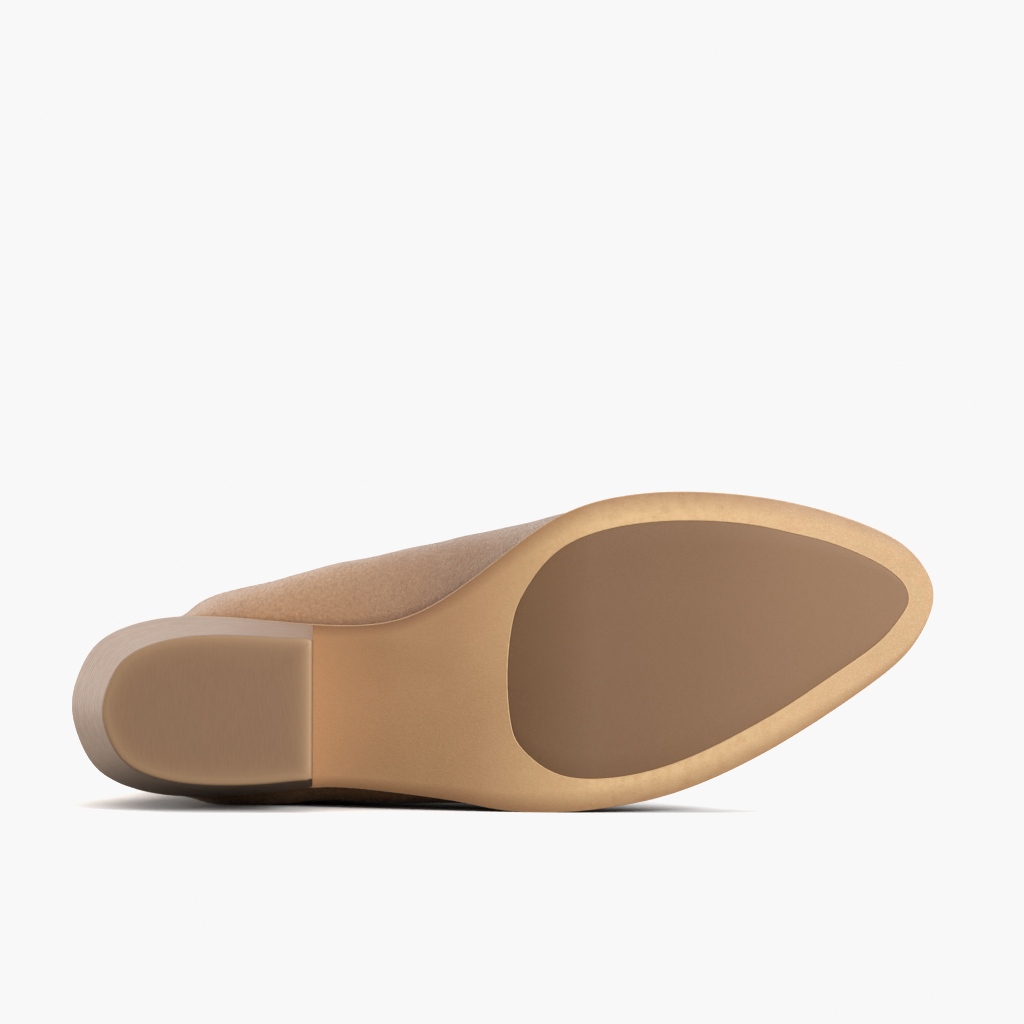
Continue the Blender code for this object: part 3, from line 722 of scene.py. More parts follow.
def sole_leather():
    look = Look("sole_leather", srgb(208, 158, 114), 0.46, Coat_Weight=0.10, Coat_Roughness=0.35)
    # Painted light: the mask below makes the sole lighter towards the toe, on the side the key light
    # comes from; the patches and speckles there are the leather's own.
    toe_light = look.attribute("toe_light")
    cloud = look.noise(0.022, 3.0, 0.5)
    tone = look.mix(look.ramp(cloud, 0.35, 0.65), (208, 159, 113), (216, 168, 121))
    rim = look.mix(look.along(55.0, 120.0), (232, 192, 138), (196, 158, 110))
    tone = look.mix(toe_light, tone, rim)
    patches = look.ramp(look.noise(0.30, 4.0, 0.6), 0.45, 0.68, 0.0, 0.55)
    tone = look.mix(look.math("MULTIPLY", patches, toe_light), tone, (208, 156, 108))
    fibres = look.noise(1.6, 4.0, 0.65, 0.4, look.stretched((0.5, 1.0, 1.0)))
    tone = look.mix(look.ramp(fibres, 0.4, 0.75, 0.0, 0.18), tone, (170, 118, 74))
    grain = look.noise(2.8, 4.0, 0.7)
    speckle = look.math("MULTIPLY", look.ramp(grain, 0.48, 0.70), look.ramp(toe_light, 0, 1, 0.18, 0.6))
    tone = look.mix(speckle, tone, (234, 200, 152))
    # Painted light: the waist is lighter next to the heel's breast.
    tone = look.mix(look.attribute("breast"), tone, (228, 180, 132))
    # A dark dyed edge round the sole, and painted shade on the inner waist.
    tone = look.mix(look.attribute("burnish_and_waist_shade"), tone, (146, 94, 58))
    height = look.total((grain, 0.8), (fibres, 0.6))
    rough = look.ramp(look.noise(0.2, 3.0), 0.3, 0.7, 0.40, 0.54)
    return look.finish(tone, rough, look.bump(height, 0.16, 0.6))


def sole_edge():
    look = Look("sole_edge", srgb(200, 158, 112), 0.5)
    layers = look.noise(1.0, 3.0, 0.6, 0.0, look.stretched((0.15, 2.5, 2.5)))
    tone = look.mix(look.ramp(layers, 0.3, 0.7), (184, 142, 98), (212, 172, 128))
    return look.finish(tone, None, look.bump(layers, 0.08, 0.4))


def pad_rubber():
    look = Look("pad_rubber", srgb(138, 104, 78), 0.55)
    # Painted light: the pad is darker towards the heel and lighter towards the toe.
    tone = look.mix(look.along(0.0, 120.0), (128, 91, 61), (145, 108, 75))
    cloud = look.noise(0.018, 2.0, 0.5)
    tone = look.mix(look.ramp(cloud, 0.35, 0.65, 0.0, 0.25), tone, (149, 113, 79))
    speckle = look.noise(2.2, 3.0, 0.7)
    tone = look.mix(look.ramp(speckle, 0.35, 0.75, 0.0, 0.12), tone, (92, 60, 40))
    pores = look.ramp(look.noise(6.0, 2.0, 0.6), 0.3, 0.7)
    return look.finish(tone, None, look.bump(pores, 0.07, 0.5))


def stack_leather():
    look = Look("stack_leather", srgb(176, 152, 132), 0.55)
    layer = look.attribute("layer")
    shifted = look.math("ADD", layer, 0.5)
    index = look.math("FLOOR", shifted)
    chance = look.node("TexWhiteNoise", {"W": index}, noise_dimensions="1D").outputs["Value"]
    within = look.math("ABSOLUTE", look.math("SUBTRACT", shifted, index))
    line = look.ramp(look.math("ABSOLUTE", look.math("SUBTRACT", within, 0.5)), 0.13, 0.0, 0.0, 1.0)
    around = look.math("MULTIPLY", look.attribute("round"), 0.05)
    streak_space = look.node("CombineXYZ", {"X": around, "Y": layer}).outputs["Vector"]
    streaks = look.noise(2.6, 5.0, 0.7, 0.0, streak_space)
    light = look.noise(6.0, 4.0, 0.65, 0.0, streak_space)
    tone = look.mix(look.ramp(streaks, 0.35, 0.7), (190, 162, 142), (166, 137, 116))
    tone = look.mix(look.ramp(light, 0.50, 0.70, 0.0, 0.6), tone, (214, 194, 176))
    # Painted shade: the stack is darker towards its breast.
    tone = look.mix(look.along(-88.0, -62.0, 0.0, 0.60), tone, (146, 103, 70))
    joint = look.math("MULTIPLY", line, look.ramp(chance, 0.0, 1.0, 0.25, 0.9))
    tone = look.mix(joint, tone, (116, 88, 70))
    lowest = look.ramp(layer, STACK_LAYERS - 0.5, STACK_LAYERS, 0.0, 0.6)
    tone = look.mix(lowest, tone, (112, 84, 64))
    return look.finish(tone, None, look.bump(look.total((streaks, 1.0), (line, -0.5)), 0.10, 0.5))


def lift_rubber():
    look = Look("lift_rubber", srgb(152, 116, 86), 0.5)
    turned = look.stretched((1.5, 1.5, 0.16), (0.0, math.radians(-38), 0.0))
    brush = look.noise(1.6, 4.0, 0.6, 0.3, turned)
    upright = look.noise(1.8, 3.0, 0.6, 0.0, look.stretched((1.6, 1.6, 0.12)))
    tone = look.mix(look.ramp(brush, 0.3, 0.7), (149, 113, 84), (155, 119, 89))
    tone = look.mix(look.ramp(upright, 0.45, 0.75, 0.0, 0.25), tone, (134, 98, 70))
    tone = look.mix(look.attribute("rim"), tone, (186, 148, 110))
    height = look.total((brush, 1.0), (look.noise(5.0, 2.0), 0.4))
    return look.finish(tone, None, look.bump(height, 0.08, 0.5))


def gore_elastic():
    look = Look("gore_elastic", srgb(88, 62, 46), 0.8, Sheen_Weight=0.25, Sheen_Roughness=0.4)
    sockets = {"Vector": look.space, "Scale": 0.55, "Distortion": 0.4}
    weave = look.node("TexWave", sockets, bands_direction="Y").outputs["Fac"]
    tone = look.mix(look.attribute("rib"), (52, 34, 24), (108, 78, 58))
    tone = look.mix(look.ramp(weave, 0.0, 1.0, 0.0, 0.35), tone, (70, 48, 34))
    return look.finish(tone, None, look.bump(weave, 0.12, 0.6))


LEATHER = upper_leather()
LINING = soft_leather("lining_leather", 0.62, 0.05, (2.4, 3.0, 0.6), 0.4,
                      srgb(205, 172, 138), (192, 156, 120), (214, 182, 148))
CUT = two_tone("cut_edge", 0.7, 1.4, srgb(128, 84, 56), (104, 66, 44), (150, 104, 72))
SOLE_SKIN, SOLE_EDGE, PAD_SKIN = sole_leather(), sole_edge(), pad_rubber()
PAD_EDGE = two_tone("pad_rim_leather", 0.5, 0.4,
                    srgb(206, 166, 122), (204, 160, 112), (232, 194, 146))
STACK, LIFT_SKIN, ELASTIC = stack_leather(), lift_rubber(), gore_elastic()
SOCK = soft_leather("sock_leather", 0.58, 0.04, (2.0, 4.0, 0.65), 0.45,
                    srgb(206, 168, 128), (192, 152, 112), (212, 176, 138))
THREAD = two_tone("thread", 0.6, 4.0, srgb(176, 134, 98), (150, 110, 78), (200, 160, 124))

# Upper.


def gore_half_width(down):
    """Half the width of a gore's opening at a depth below the collar."""
    share = np.clip(down / GORE_DEPTH, 0, 1)
    taper = GORE_TOP_WIDTH + (GORE_BOTTOM_WIDTH - GORE_TOP_WIDTH) * share
    return taper / 2 * (1 - share ** (2 * GORE_CORNER)) ** (1 / GORE_CORNER)


def gore_edge(count, above=0.0):
    """The opening's edge in side view, from its front top corner round to its back one."""
    down = GORE_DEPTH * np.sin(np.linspace(0, np.pi / 2, count))
    half = gore_half_width(down)
    ahead = np.stack([GORE_MIDDLE + half, COLLAR_TOP - down], axis=1)
    behind = np.stack([GORE_MIDDLE - half, COLLAR_TOP - down], axis=1)[-2::-1]
    edge = np.vstack([ahead, behind])
    if above:
        caps = edge[[0, -1]] + (0, above)
        edge = np.vstack([caps[:1], edge, caps[1:]])
    return edge


GORE_LINE = respaced(gore_edge(120), 260)


def off_gore(x, z):
    """Distance in side view from the gore's edge; negative inside the opening."""
    points = np.stack([np.ravel(x), np.ravel(z)], axis=1)
    away = np.empty(len(points))
    for first in range(0, len(points), 6000):
        part = points[first:first + 6000]
        away[first:first + 6000] = np.linalg.norm(part[:, None] - GORE_LINE[None], axis=2).min(axis=1)
    inside = (np.abs(points[:, 0] - GORE_MIDDLE) < gore_half_width(COLLAR_TOP - points[:, 1])) & (
        COLLAR_TOP - points[:, 1] < GORE_DEPTH
    )
    return np.where(inside, -away, away).reshape(np.shape(x))


def creases(x, z, side):
    """Troughs with a soft swell on each side, in millimetres outwards."""
    total = np.zeros(np.shape(x))
    for on, along, up, direction, length, width, depth in CREASES:
        if on != side:
            continue
        middle = along * SOLE_LENGTH
        cx, cz = x - middle, z - (float(over_sole(middle)) + up * SHAFT_HEIGHT)
        c, s = math.cos(math.radians(direction)), math.sin(math.radians(direction))
        run, off = cx * c + cz * s, -cx * s + cz * c
        off = off + 0.012 * run ** 2
        fade = smooth_step(1.6 * (1 - np.abs(run) / length))
        trough = np.exp(-(off / width) ** 2)
        swell = np.exp(-((np.abs(off) - 1.9 * width) / width) ** 2)
        total += depth * fade * (0.4 * swell - trough)
    return total


def relief(x, z, side):
    """How far the leather stands out from the plain form, in millimetres."""
    above = z - over_sole(x)
    near_back = x - back_x(z)
    soft = (0.10 + 0.06 * side) * np.sin(0.071 * x + 0.9 * side) * np.sin(0.083 * z + 0.4)
    soft += (0.06 + 0.03 * side) * np.sin(0.19 * x - 0.11 * z + side) * smooth_step(above / 20)
    feather = -0.75 * np.exp(-(above / 1.1) ** 2)
    pucker = 0.10 * np.sin(1.9 * x + 1.2 * np.sin(0.37 * x)) * np.exp(-((above - 2.6) / 2.4) ** 2)
    edge = off_gore(x, z)
    rolled = -0.75 * np.exp(-(np.clip(edge, -1, None) / 0.75) ** 2)
    channel = -0.14 * sum(np.exp(-((edge - row) / 0.55) ** 2) for row in STITCH_ROWS)
    collar = -0.12 * np.exp(-((COLLAR_TOP - z - COLLAR_STITCH) / 0.6) ** 2)
    seam = -0.45 * np.exp(-(near_back / 0.35) ** 2) * (z > 0)
    return soft + feather + pucker + rolled + channel + collar + seam + creases(x, z, side)


ALONG, UP = 170, 104


def side_patch():
    """Places in side view that the upper's mesh takes: rows go up, columns from back to front."""
    along = lengthwise(0, 1, ALONG)
    foot = lengthwise(FEATHER.x_low, FEATHER.x_high, ALONG)
    foot = np.stack([foot, over_sole(foot) + FIT_GAP], axis=1)
    top = COLLAR_BACK + along * COLLAR_LENGTH
    top = np.stack([top, np.full_like(top, COLLAR_TOP)], axis=1)
    z_back = np.linspace(foot[0, 1], COLLAR_TOP, 400)
    back = respaced(np.stack([back_x(z_back), z_back], axis=1), UP + 1)
    back[0] = foot[0]
    z_nose = over_sole(FEATHER.x_high) + np.linspace(FIT_GAP, NOSE[-1][0] * TOE_NOSE, 24)
    nose = np.stack([tip_x(z_nose), z_nose], axis=1)
    nose[0] = foot[-1]
    ridge = FRONT[(FRONT[:, 0] < nose[-1, 0] - 3) & (FRONT[:, 1] < COLLAR_TOP), :2]
    front = respaced(curve_through(np.vstack([nose[::4], ridge[6::12], top[-1:]]), 800), UP + 1)
    front[-1] = top[-1]
    up = np.linspace(0, 1, UP + 1)[:, None, None]
    ahead = along[None, :, None]
    corners = (
        (1 - up) * ((1 - ahead) * foot[0] + ahead * foot[-1])
        + up * ((1 - ahead) * top[0] + ahead * top[-1])
    )
    return (1 - up) * foot + up * top + (1 - ahead) * back[:, None] + ahead * front[:, None] - corners


def ring_normals(rings):
    around = np.roll(rings, -1, axis=1) - np.roll(rings, 1, axis=1)
    upward = np.gradient(rings, axis=0)
    out = np.cross(upward, around)
    for edge in (0, -1):
        out[edge, :, 2] = 0
    return out / np.linalg.norm(out, axis=2)[..., None]


def make_upper():
    patch = side_patch()
    x, z = patch[..., 0], patch[..., 1]
    sides = []
    for outer in (True, False):
        y = side_of_upper(x, z, outer)
        y[:, 0] = swing(x[:, 0])
        y[:, -1] = swing(x[:, -1])
        sides.append(np.stack([x, y, z], axis=2))
    plain = np.concatenate([sides[0], sides[1][:, -2:0:-1]], axis=1)
    out = ring_normals(plain)
    raised = np.concatenate([relief(x, z, +1), relief(x, z, -1)[:, -2:0:-1]], axis=1)
    outside = plain + out * raised[..., None]
    behind_toe = smooth_step((FEATHER.x_high - plain[..., :1]) / TOE_WALL_START)
    inside = plain - out * WALL * (TOE_WALL_SHARE + (1 - TOE_WALL_SHARE) * behind_toe)
    for skin in (inside, outside):
        skin[0, :, 2] = over_sole(skin[0, :, 0]) + FIT_GAP
        skin[-1, :, 2] -= WALL / 2
    half = WALL / 2
    lip = []
    for turn in np.linspace(0, np.pi, 7)[1:-1]:
        ring = plain[-1] + out[-1] * (half * math.cos(turn) - half)
        ring[:, 2] = COLLAR_TOP - half + half * math.sin(turn)
        lip.append(ring)
    rings = np.concatenate([outside, np.array(lip), inside[::-1]])
    rows, columns, _ = rings.shape
    faces = looped_faces(rows, columns)
    lined = UP + len(lip) // 2 + 1
    in_toe = rings[..., 0].ravel() > TOE_LEATHER_START * SOLE_LENGTH
    indices = [0 if i // columns < lined or in_toe[i] else 1 for i in range(len(faces))]
    piece = new_piece("upper_skin", rings.reshape(-1, 3), faces, [LEATHER, LINING, CUT], indices)
    edge = gore_edge(40, above=GORE_LAP)
    sections = [np.stack([edge[:, 0], np.full(len(edge), y), edge[:, 1]], axis=1)
                for y in (-BALL_WIDTH, BALL_WIDTH)]
    prism = capped_faces(2, len(edge))
    cut(piece, new_piece("gore_cutter", np.concatenate(sections), prism, [CUT], ride=False))
    piece.data.set_sharp_from_angle(angle=0.9)
    points = standing_points(piece)
    px, pz = points[:, 0], points[:, 2]
    above = pz - over_sole(px)
    # The seam mask is painted shade: dark in the grooves where the upper meets the sole, round the gore
    # edges and at the back seam, with a faint wider band above the sole.
    seam = 0.75 * np.exp(-(above / 1.3) ** 2)
    seam = np.maximum(seam, 0.40 * np.exp(-(np.clip(off_gore(px, pz), 0, None) / 0.8) ** 2))
    seam = np.maximum(seam, 0.60 * np.exp(-((px - back_x(pz)) / 0.28) ** 2))
    seam = np.maximum(seam, 0.10 * np.exp(-(above / 9.0) ** 2))
    set_attribute(piece, "seam", seam)
    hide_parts("upper")


def surface(x, z, outer, lift=0.0):
    """A point on the upper's outer surface, with its outward normal."""
    step = 0.4
    x, z = np.asarray(x, float), np.asarray(z, float)
    side = 1 if outer else -1
    y = side_of_upper(x, z, outer)
    slope_x = (side_of_upper(x + step, z, outer) - side_of_upper(x - step, z, outer)) / (2 * step)
    slope_z = (side_of_upper(x, z + step, outer) - side_of_upper(x, z - step, outer)) / (2 * step)
    out = np.stack([-slope_x, np.ones_like(x), -slope_z], axis=-1) * side
    out /= np.linalg.norm(out, axis=-1)[..., None]
    return np.stack([x, y, z], axis=-1) + out * np.asarray(lift)[..., None], out


def stitch_row(path, normals):
    """Short sewn capsules laid along a path, each a little sunk into the leather."""
    points, faces = [], []
    run = run_along(path)
    count = int(run[-1] // STITCH_PITCH)
    sides, rings = 7, ((-0.5, 0.15), (-0.42, 0.75), (-0.2, 1.0), (0.2, 1.0), (0.42, 0.75), (0.5, 0.15))
    for k in range(count):
        middle = (k + 0.5) * run[-1] / count
        ends = [
            np.array([np.interp(middle + d, run, path[:, a]) for a in range(3)])
            for d in (-STITCH_LENGTH / 2, STITCH_LENGTH / 2)
        ]
        up = np.array([np.interp(middle, run, normals[:, a]) for a in range(3)])
        ahead = ends[1] - ends[0]
        length = np.linalg.norm(ahead)
        ahead /= length
        side = np.cross(ahead, up)
        side /= np.linalg.norm(side)
        up = np.cross(side, ahead)
        centre = (ends[0] + ends[1]) / 2
        first = len(points)
        for along, wide in rings:
            sag = -0.10 * (2 * abs(along)) ** 2
            for j in range(sides):
                turn = 2 * np.pi * j / sides
                points.append(
                    centre + ahead * along * length + up * (sag + THREAD_RADIUS * wide * math.sin(turn))
                    + side * THREAD_RADIUS * wide * math.cos(turn)
                )
        faces += [tuple(first + v for v in face) for face in capped_faces(len(rings), sides)]
    return points, faces


def sewn(x, z, outer):
    """Stitches along a line in side view."""
    spot, out = surface(x, z, outer)
    lift = relief(x, z, 1 if outer else -1) + THREAD_RISE
    return stitch_row(spot + out * lift[:, None], out)


def make_stitches():
    rows = []
    dense = respaced(gore_edge(160), 400)
    tangent = np.gradient(dense, axis=0)
    tangent /= np.linalg.norm(tangent, axis=1)[:, None]
    away = np.stack([-tangent[:, 1], tangent[:, 0]], axis=1)
    if away[0, 0] < 0:
        away = -away
    for outer in (True, False):
        for offset in STITCH_ROWS:
            line = dense + away * offset
            line = line[(line[:, 1] < COLLAR_TOP - 2.0)]
            rows.append(sewn(line[:, 0], line[:, 1], outer))
        for low, high in ((COLLAR_BACK + 2.5, GORE_MIDDLE - GORE_TOP_WIDTH / 2 - 3.0),
                          (GORE_MIDDLE + GORE_TOP_WIDTH / 2 + 3.0, COLLAR_FRONT - 0.02)):
            x = low + (high - low) * np.sin(np.linspace(0, np.pi / 2, 60))
            rows.append(sewn(x, np.full_like(x, COLLAR_TOP - COLLAR_STITCH), outer))
        z = np.linspace(SEAT_TOP + 4, COLLAR_TOP - 4, 160)
        rows.append(sewn(back_x(z) + BACK_STITCH, z, outer))
    points, faces = [], []
    for more, shapes in rows:
        faces += [tuple(len(points) + v for v in shape) for shape in shapes]
        points += more
    new_piece("upper_stitching", np.array(points), faces, [THREAD], angle=1.2)


def make_gore(name, node, outer):
    """Ribbed elastic, with its edges behind the leather and its middle swelling out."""
    ribs = int(round((GORE_TOP_WIDTH + 2 * GORE_LAP) / RIB_PITCH))
    rows, columns = 46, ribs * 6 + 1
    reach = GORE_DEPTH + GORE_LAP
    down = FIT_GAP + (reach - FIT_GAP) * np.sin(np.linspace(0, np.pi / 2 - 0.12, rows))
    down = down[:, None] * np.ones(columns)
    half = gore_half_width(np.clip(down * GORE_DEPTH / reach, 0, GORE_DEPTH)) + GORE_LAP
    across = np.linspace(-1, 1, columns)[None, :]
    x = GORE_MIDDLE + half * across
    z = COLLAR_TOP - down
    opening = np.maximum(gore_half_width(down) - GORE_GAP, GORE_GAP)
    inside = 1 - np.clip(np.abs(x - GORE_MIDDLE) / opening, 0, 1) ** 2
    inside *= np.clip((GORE_DEPTH - down) / (0.35 * GORE_DEPTH), 0, 1)
    swell = GORE_SWELL * np.clip(inside, 0, 1) ** 0.5 * np.clip(inside * 4, 0, 1)
    rib = 0.5 + 0.5 * np.cos(2 * np.pi * (x - GORE_MIDDLE) / RIB_PITCH)
    pucker = 0.10 * np.sin(z * 0.9) * np.sin(x * 0.35)
    rib_lift = RIB_HEIGHT * (rib - 0.5) + pucker * inside
    hem = 0.25 * np.exp(-((down - 1.2) / 1.6) ** 4)
    face = surface(x, z, outer, swell - WALL - GORE_GAP + rib_lift + hem)[0]
    lining = surface(x, z, outer, swell - WALL - GORE_GAP - GORE_THICK)[0]
    loops = [np.concatenate([face[r], lining[r][::-1]]) for r in range(rows)]
    piece = new_piece(name, np.concatenate(loops), capped_faces(rows, 2 * columns), [ELASTIC],
                      angle=1.0)
    values = np.concatenate([np.concatenate([rib[r], rib[r][::-1] * 0.5]) for r in range(rows)])
    set_attribute(piece, "rib", values)
    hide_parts(node)


# Sole, pad, insole.


def loop_at(outline, inset, height, count):
    """A ring on the outline moved inwards, with the same stations on both edges."""
    moved = outline.inset(inset) if inset else outline
    x = lengthwise(moved.x_low, moved.x_high, count)
    outer = np.stack([x, moved.outer(x), height(x)], axis=1)
    inner = np.stack([x, moved.inner(x), height(x)], axis=1)
    return np.vstack([outer, inner[-2:0:-1]])


def fill_between(points, faces, ring_start, count, across, height, flip):
    """Fills a ring with strips from its outer to its inner edge."""
    ring = 2 * count
    outer = [ring_start + i for i in range(count + 1)]
    inner = [ring_start] + [ring_start + ring - i for i in range(1, count)] + [ring_start + count]
    rows = [[outer[0]] * (across + 1)]
    for i in range(1, count):
        a, b = points[outer[i]], points[inner[i]]
        row = [outer[i]]
        for k in range(1, across):
            spot = a + (b - a) * k / across
            spot[2] = height(spot[0])
            row.append(len(points))
            points.append(spot)
        rows.append(row + [inner[i]])
    rows.append([outer[count]] * (across + 1))
    for near, far in zip(rows[:-1], rows[1:]):
        for k in range(across):
            quad = tuple(dict.fromkeys((near[k], near[k + 1], far[k + 1], far[k])))
            faces.append(quad[::-1] if flip else quad)


def rounded_plate(name, outline, low, high, radius_low, radius_high, materials, count=150, across=10):
    """A plate with rounded edges. Faces of the lower edge get material 1, the side material 2."""
    turns = np.linspace(0, np.pi / 2, 4)
    rings = []
    for edge, radius, order in ((low, radius_low, turns), (high, -radius_high, turns[::-1])):
        for turn in order:
            inset, rise = abs(radius) * (1 - math.sin(turn)), radius * (1 - math.cos(turn))
            rings.append(loop_at(outline, inset, lambda x, e=edge, r=rise: e(x) + r, count))
    columns = 2 * count
    points = [p for ring in rings for p in ring]
    faces = ring_faces(len(rings), columns)
    indices = [2 if i // columns == len(turns) - 1 else 1 for i in range(len(faces))]
    fill_between(points, faces, 0, count, across, low, False)
    fill_between(points, faces, (len(rings) - 1) * columns, count, across, high, True)
    indices += [0] * (len(faces) - len(indices))
    return new_piece(name, np.array(points), faces, materials, indices, angle=1.0)


def make_sole():
    piece = rounded_plate("sole_skin", SOLE, under_sole, over_sole, 0.25, 0.4,
                          [SOLE_SKIN, SOLE_SKIN, SOLE_EDGE], count=190, across=14)
    room = PAD.inset(-FIT_GAP)
    pocket = rounded_plate("pad_pocket", room, lambda x: under_sole(x) - PAD_THICK,
                           lambda x: under_sole(x) + PAD_THICK + FIT_GAP, 0.01, 0.01,
                           [PAD_EDGE] * 3, across=6)
    cut(piece, pocket)
    piece.data.set_sharp_from_angle(angle=0.9)
    points = standing_points(piece)
    x, y = points[:, 0], points[:, 1]
    to_edge = np.minimum(SOLE.outer(x) - y, y - SOLE.inner(x))
    # Dark dye on the sole's rim; the darker patch on the inner waist is painted shade.
    inner_waist_shade = np.exp(-((x - 112) / 34.0) ** 2) * np.clip(1 - (y - SOLE.inner(x)) / 24.0, 0, 1)
    set_attribute(piece, "burnish_and_waist_shade", 0.22 * inner_waist_shade + 0.95 * np.exp(-(to_edge / 0.4) ** 2))
    # Painted light next to the heel's breast.
    set_attribute(piece, "breast", 0.55 * smooth_step(1 - (x - HEEL_LENGTH) / 26.0))
    # Painted light: the sole is lighter towards the toe.
    set_attribute(piece, "toe_light", smooth_step((x - 122) / 52.0))
    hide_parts("outsole")


def make_pad():
    piece = rounded_plate("pad_skin", PAD, lambda x: under_sole(x) + PAD_SUNK,
                          lambda x: under_sole(x) + PAD_THICK, 0.4, 0.1, [PAD_SKIN] * 3)
    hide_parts("forefoot_pad")


def make_pad_rim():
    """The leather's rolled edge round the pad, a thin bead in the gap."""
    count, sides = 240, 8
    middle = PAD.inset(-FIT_GAP / 2 - 0.05)
    line = respaced(np.vstack([middle.loop, middle.loop[:1]]), count + 1)[:-1]
    outward = -sideways(line)
    rings = []
    for j in range(sides):
        turn = 2 * np.pi * j / sides
        spot = line + outward * PAD_RIM * math.cos(turn)
        height = under_sole(line[:, 0]) + PAD_RIM * 0.72 + PAD_RIM * 0.8 * math.sin(turn)
        rings.append(np.column_stack([spot, height]))
    new_piece("pad_rim", np.concatenate(rings), looped_faces(sides, count), [PAD_EDGE],
              angle=1.5)


def make_insole():
    bed = FEATHER.inset(WALL + INSOLE_MARGIN)
    piece = rounded_plate("insole_sock", bed, lambda x: over_sole(x, FIT_GAP),
                          lambda x: over_sole(x, FIT_GAP + INSOLE_THICK), 0.3, 0.9,
                          [SOCK] * 3, count=110)
    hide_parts("insole")


# Heel.


def heel_loops(count):
    """The seat's and the lift's outline, point for point, from breast corner to breast corner."""
    turn = np.linspace(0, np.pi / 2, count)
    x = SOLE.x_low + (HEEL_LENGTH - SOLE.x_low) * (1 - np.cos(turn))
    seat = np.concatenate([
        np.stack([x, SOLE.outer(x)], axis=1)[::-1],
        np.stack([x, SOLE.inner(x)], axis=1)[1:],
    ])
    breast_width = float(SOLE.outer(HEEL_LENGTH) - SOLE.inner(HEEL_LENGTH))
    along = seat[:, 0] / HEEL_LENGTH
    behind, ahead = LIFT_WIDTH / HEEL_WIDTH, LIFT_BREAST_WIDTH / breast_width
    narrowing = behind + (ahead - behind) * along ** 2
    lift = np.stack([
        HEEL_LENGTH - (HEEL_LENGTH - seat[:, 0]) * LIFT_LENGTH / HEEL_LENGTH,
        seat[:, 1] * narrowing,
    ], axis=1)
    return seat, lift


def rounded_corners(loop, radius):
    """The same loop with its two breast corners rounded, and points across the breast."""
    y_first, y_last = loop[0, 1], loop[-1, 1]
    ring = loop.copy()
    near = HEEL_LENGTH - ring[:, 0]
    drawn_in = 1 - np.sqrt(1 - np.clip(1 - near / radius, 0, 1) ** 2)
    ring[:, 1] -= np.sign(ring[:, 1]) * radius * drawn_in
    across = np.linspace(y_last, y_first, 14)[1:-1]
    across = across * (1 - radius / np.abs(y_first))
    breast = np.stack([np.full(len(across), HEEL_LENGTH), across], axis=1)
    return np.vstack([ring, breast])


def heel_ring(share, radius=0.5):
    seat, lift = heel_loops(70)
    tapered = 1 - (1 - share) ** HEEL_CURVE
    ring = rounded_corners(seat + (lift - seat) * tapered, radius)
    ring[:, 0] *= 1 + share * BREAST_LEAN / HEEL_LENGTH
    return ring


def moved_in(ring, inset):
    """A closed ring in plan moved inwards."""
    inward = sideways(ring)
    if ((ring.mean(axis=0) - ring) * inward).sum() < 0:
        inward = -inward
    return ring + inward * inset


def make_heel():
    shares = np.linspace(0, 1, STACK_LAYERS * RINGS_PER_LAYER + 1)
    rings, layer = [], []
    for k, share in enumerate(shares):
        plan = heel_ring(share)
        top = under_sole(plan[:, 0]) - FIT_GAP
        z = top + (LIFT_THICK + FIT_GAP - top) * share
        groove = LAYER_GROOVE if k % RINGS_PER_LAYER == 0 and 0 < k < len(shares) - 1 else 0.0
        rings.append(np.column_stack([moved_in(plan, groove), z]))
        layer.append(np.full(len(plan), share * STACK_LAYERS))
    n = len(rings[0])
    piece = new_piece("heel_stack_skin", np.concatenate(rings), capped_faces(len(rings), n), [STACK],
                      angle=0.8)
    set_attribute(piece, "layer", np.concatenate(layer))
    set_attribute(piece, "round", np.tile(np.linspace(0, 180, n), len(rings)))
    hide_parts("heel_block")


def make_lift():
    plan = heel_ring(1.0, 0.45)
    middle = np.array([HEEL_LENGTH - LIFT_LENGTH / 2, 0.0])
    size = np.array([LIFT_LENGTH, LIFT_WIDTH])
    sections = (
        # inset, height, how far the rim's lighter colour shows
        (0.25, LIFT_THICK, 0.0), (0.0, LIFT_THICK - 0.3, 0.0), (0.0, LIFT_BEVEL * 1.4, 0.0),
        (0.22 * LIFT_BEVEL, 0.62 * LIFT_BEVEL, 0.2), (0.62 * LIFT_BEVEL, 0.2 * LIFT_BEVEL, 0.6),
        (1.25 * LIFT_BEVEL, 0.0, 0.6), (2.0, 0.0, 0.5), (3.0, 0.0, 0.32), (4.5, 0.0, 0.16),
        (7.0, 0.0, 0.06), (11.0, 0.0, 0.0), (16.0, 0.0, 0.0), (21.0, 0.0, 0.0),
    )
    rings = [
        np.column_stack([middle + (plan - middle) * (1 - 2 * inset / size), np.full(len(plan), z)])
        for inset, z, _ in sections
    ]
    points = np.concatenate(rings)
    piece = new_piece("lift_skin", points, capped_faces(len(rings), len(plan)), [LIFT_SKIN],
                      angle=0.6)
    # Painted highlight: the rim's lighter colour is stronger along the breast.
    breast_highlight = 1 + 0.6 * np.exp(-((HEEL_LENGTH - points[:, 0]) / 3.0) ** 2)
    set_attribute(piece, "rim", np.repeat([rim for _, _, rim in sections], len(plan)) * breast_highlight)
    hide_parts("top_lift")


make_upper()
make_stitches()
make_gore("gore_outer_skin", "gore_outer", True)
make_gore("gore_inner_skin", "gore_inner", False)
make_sole()
make_pad()
make_pad_rim()
make_insole()
make_heel()
make_lift()

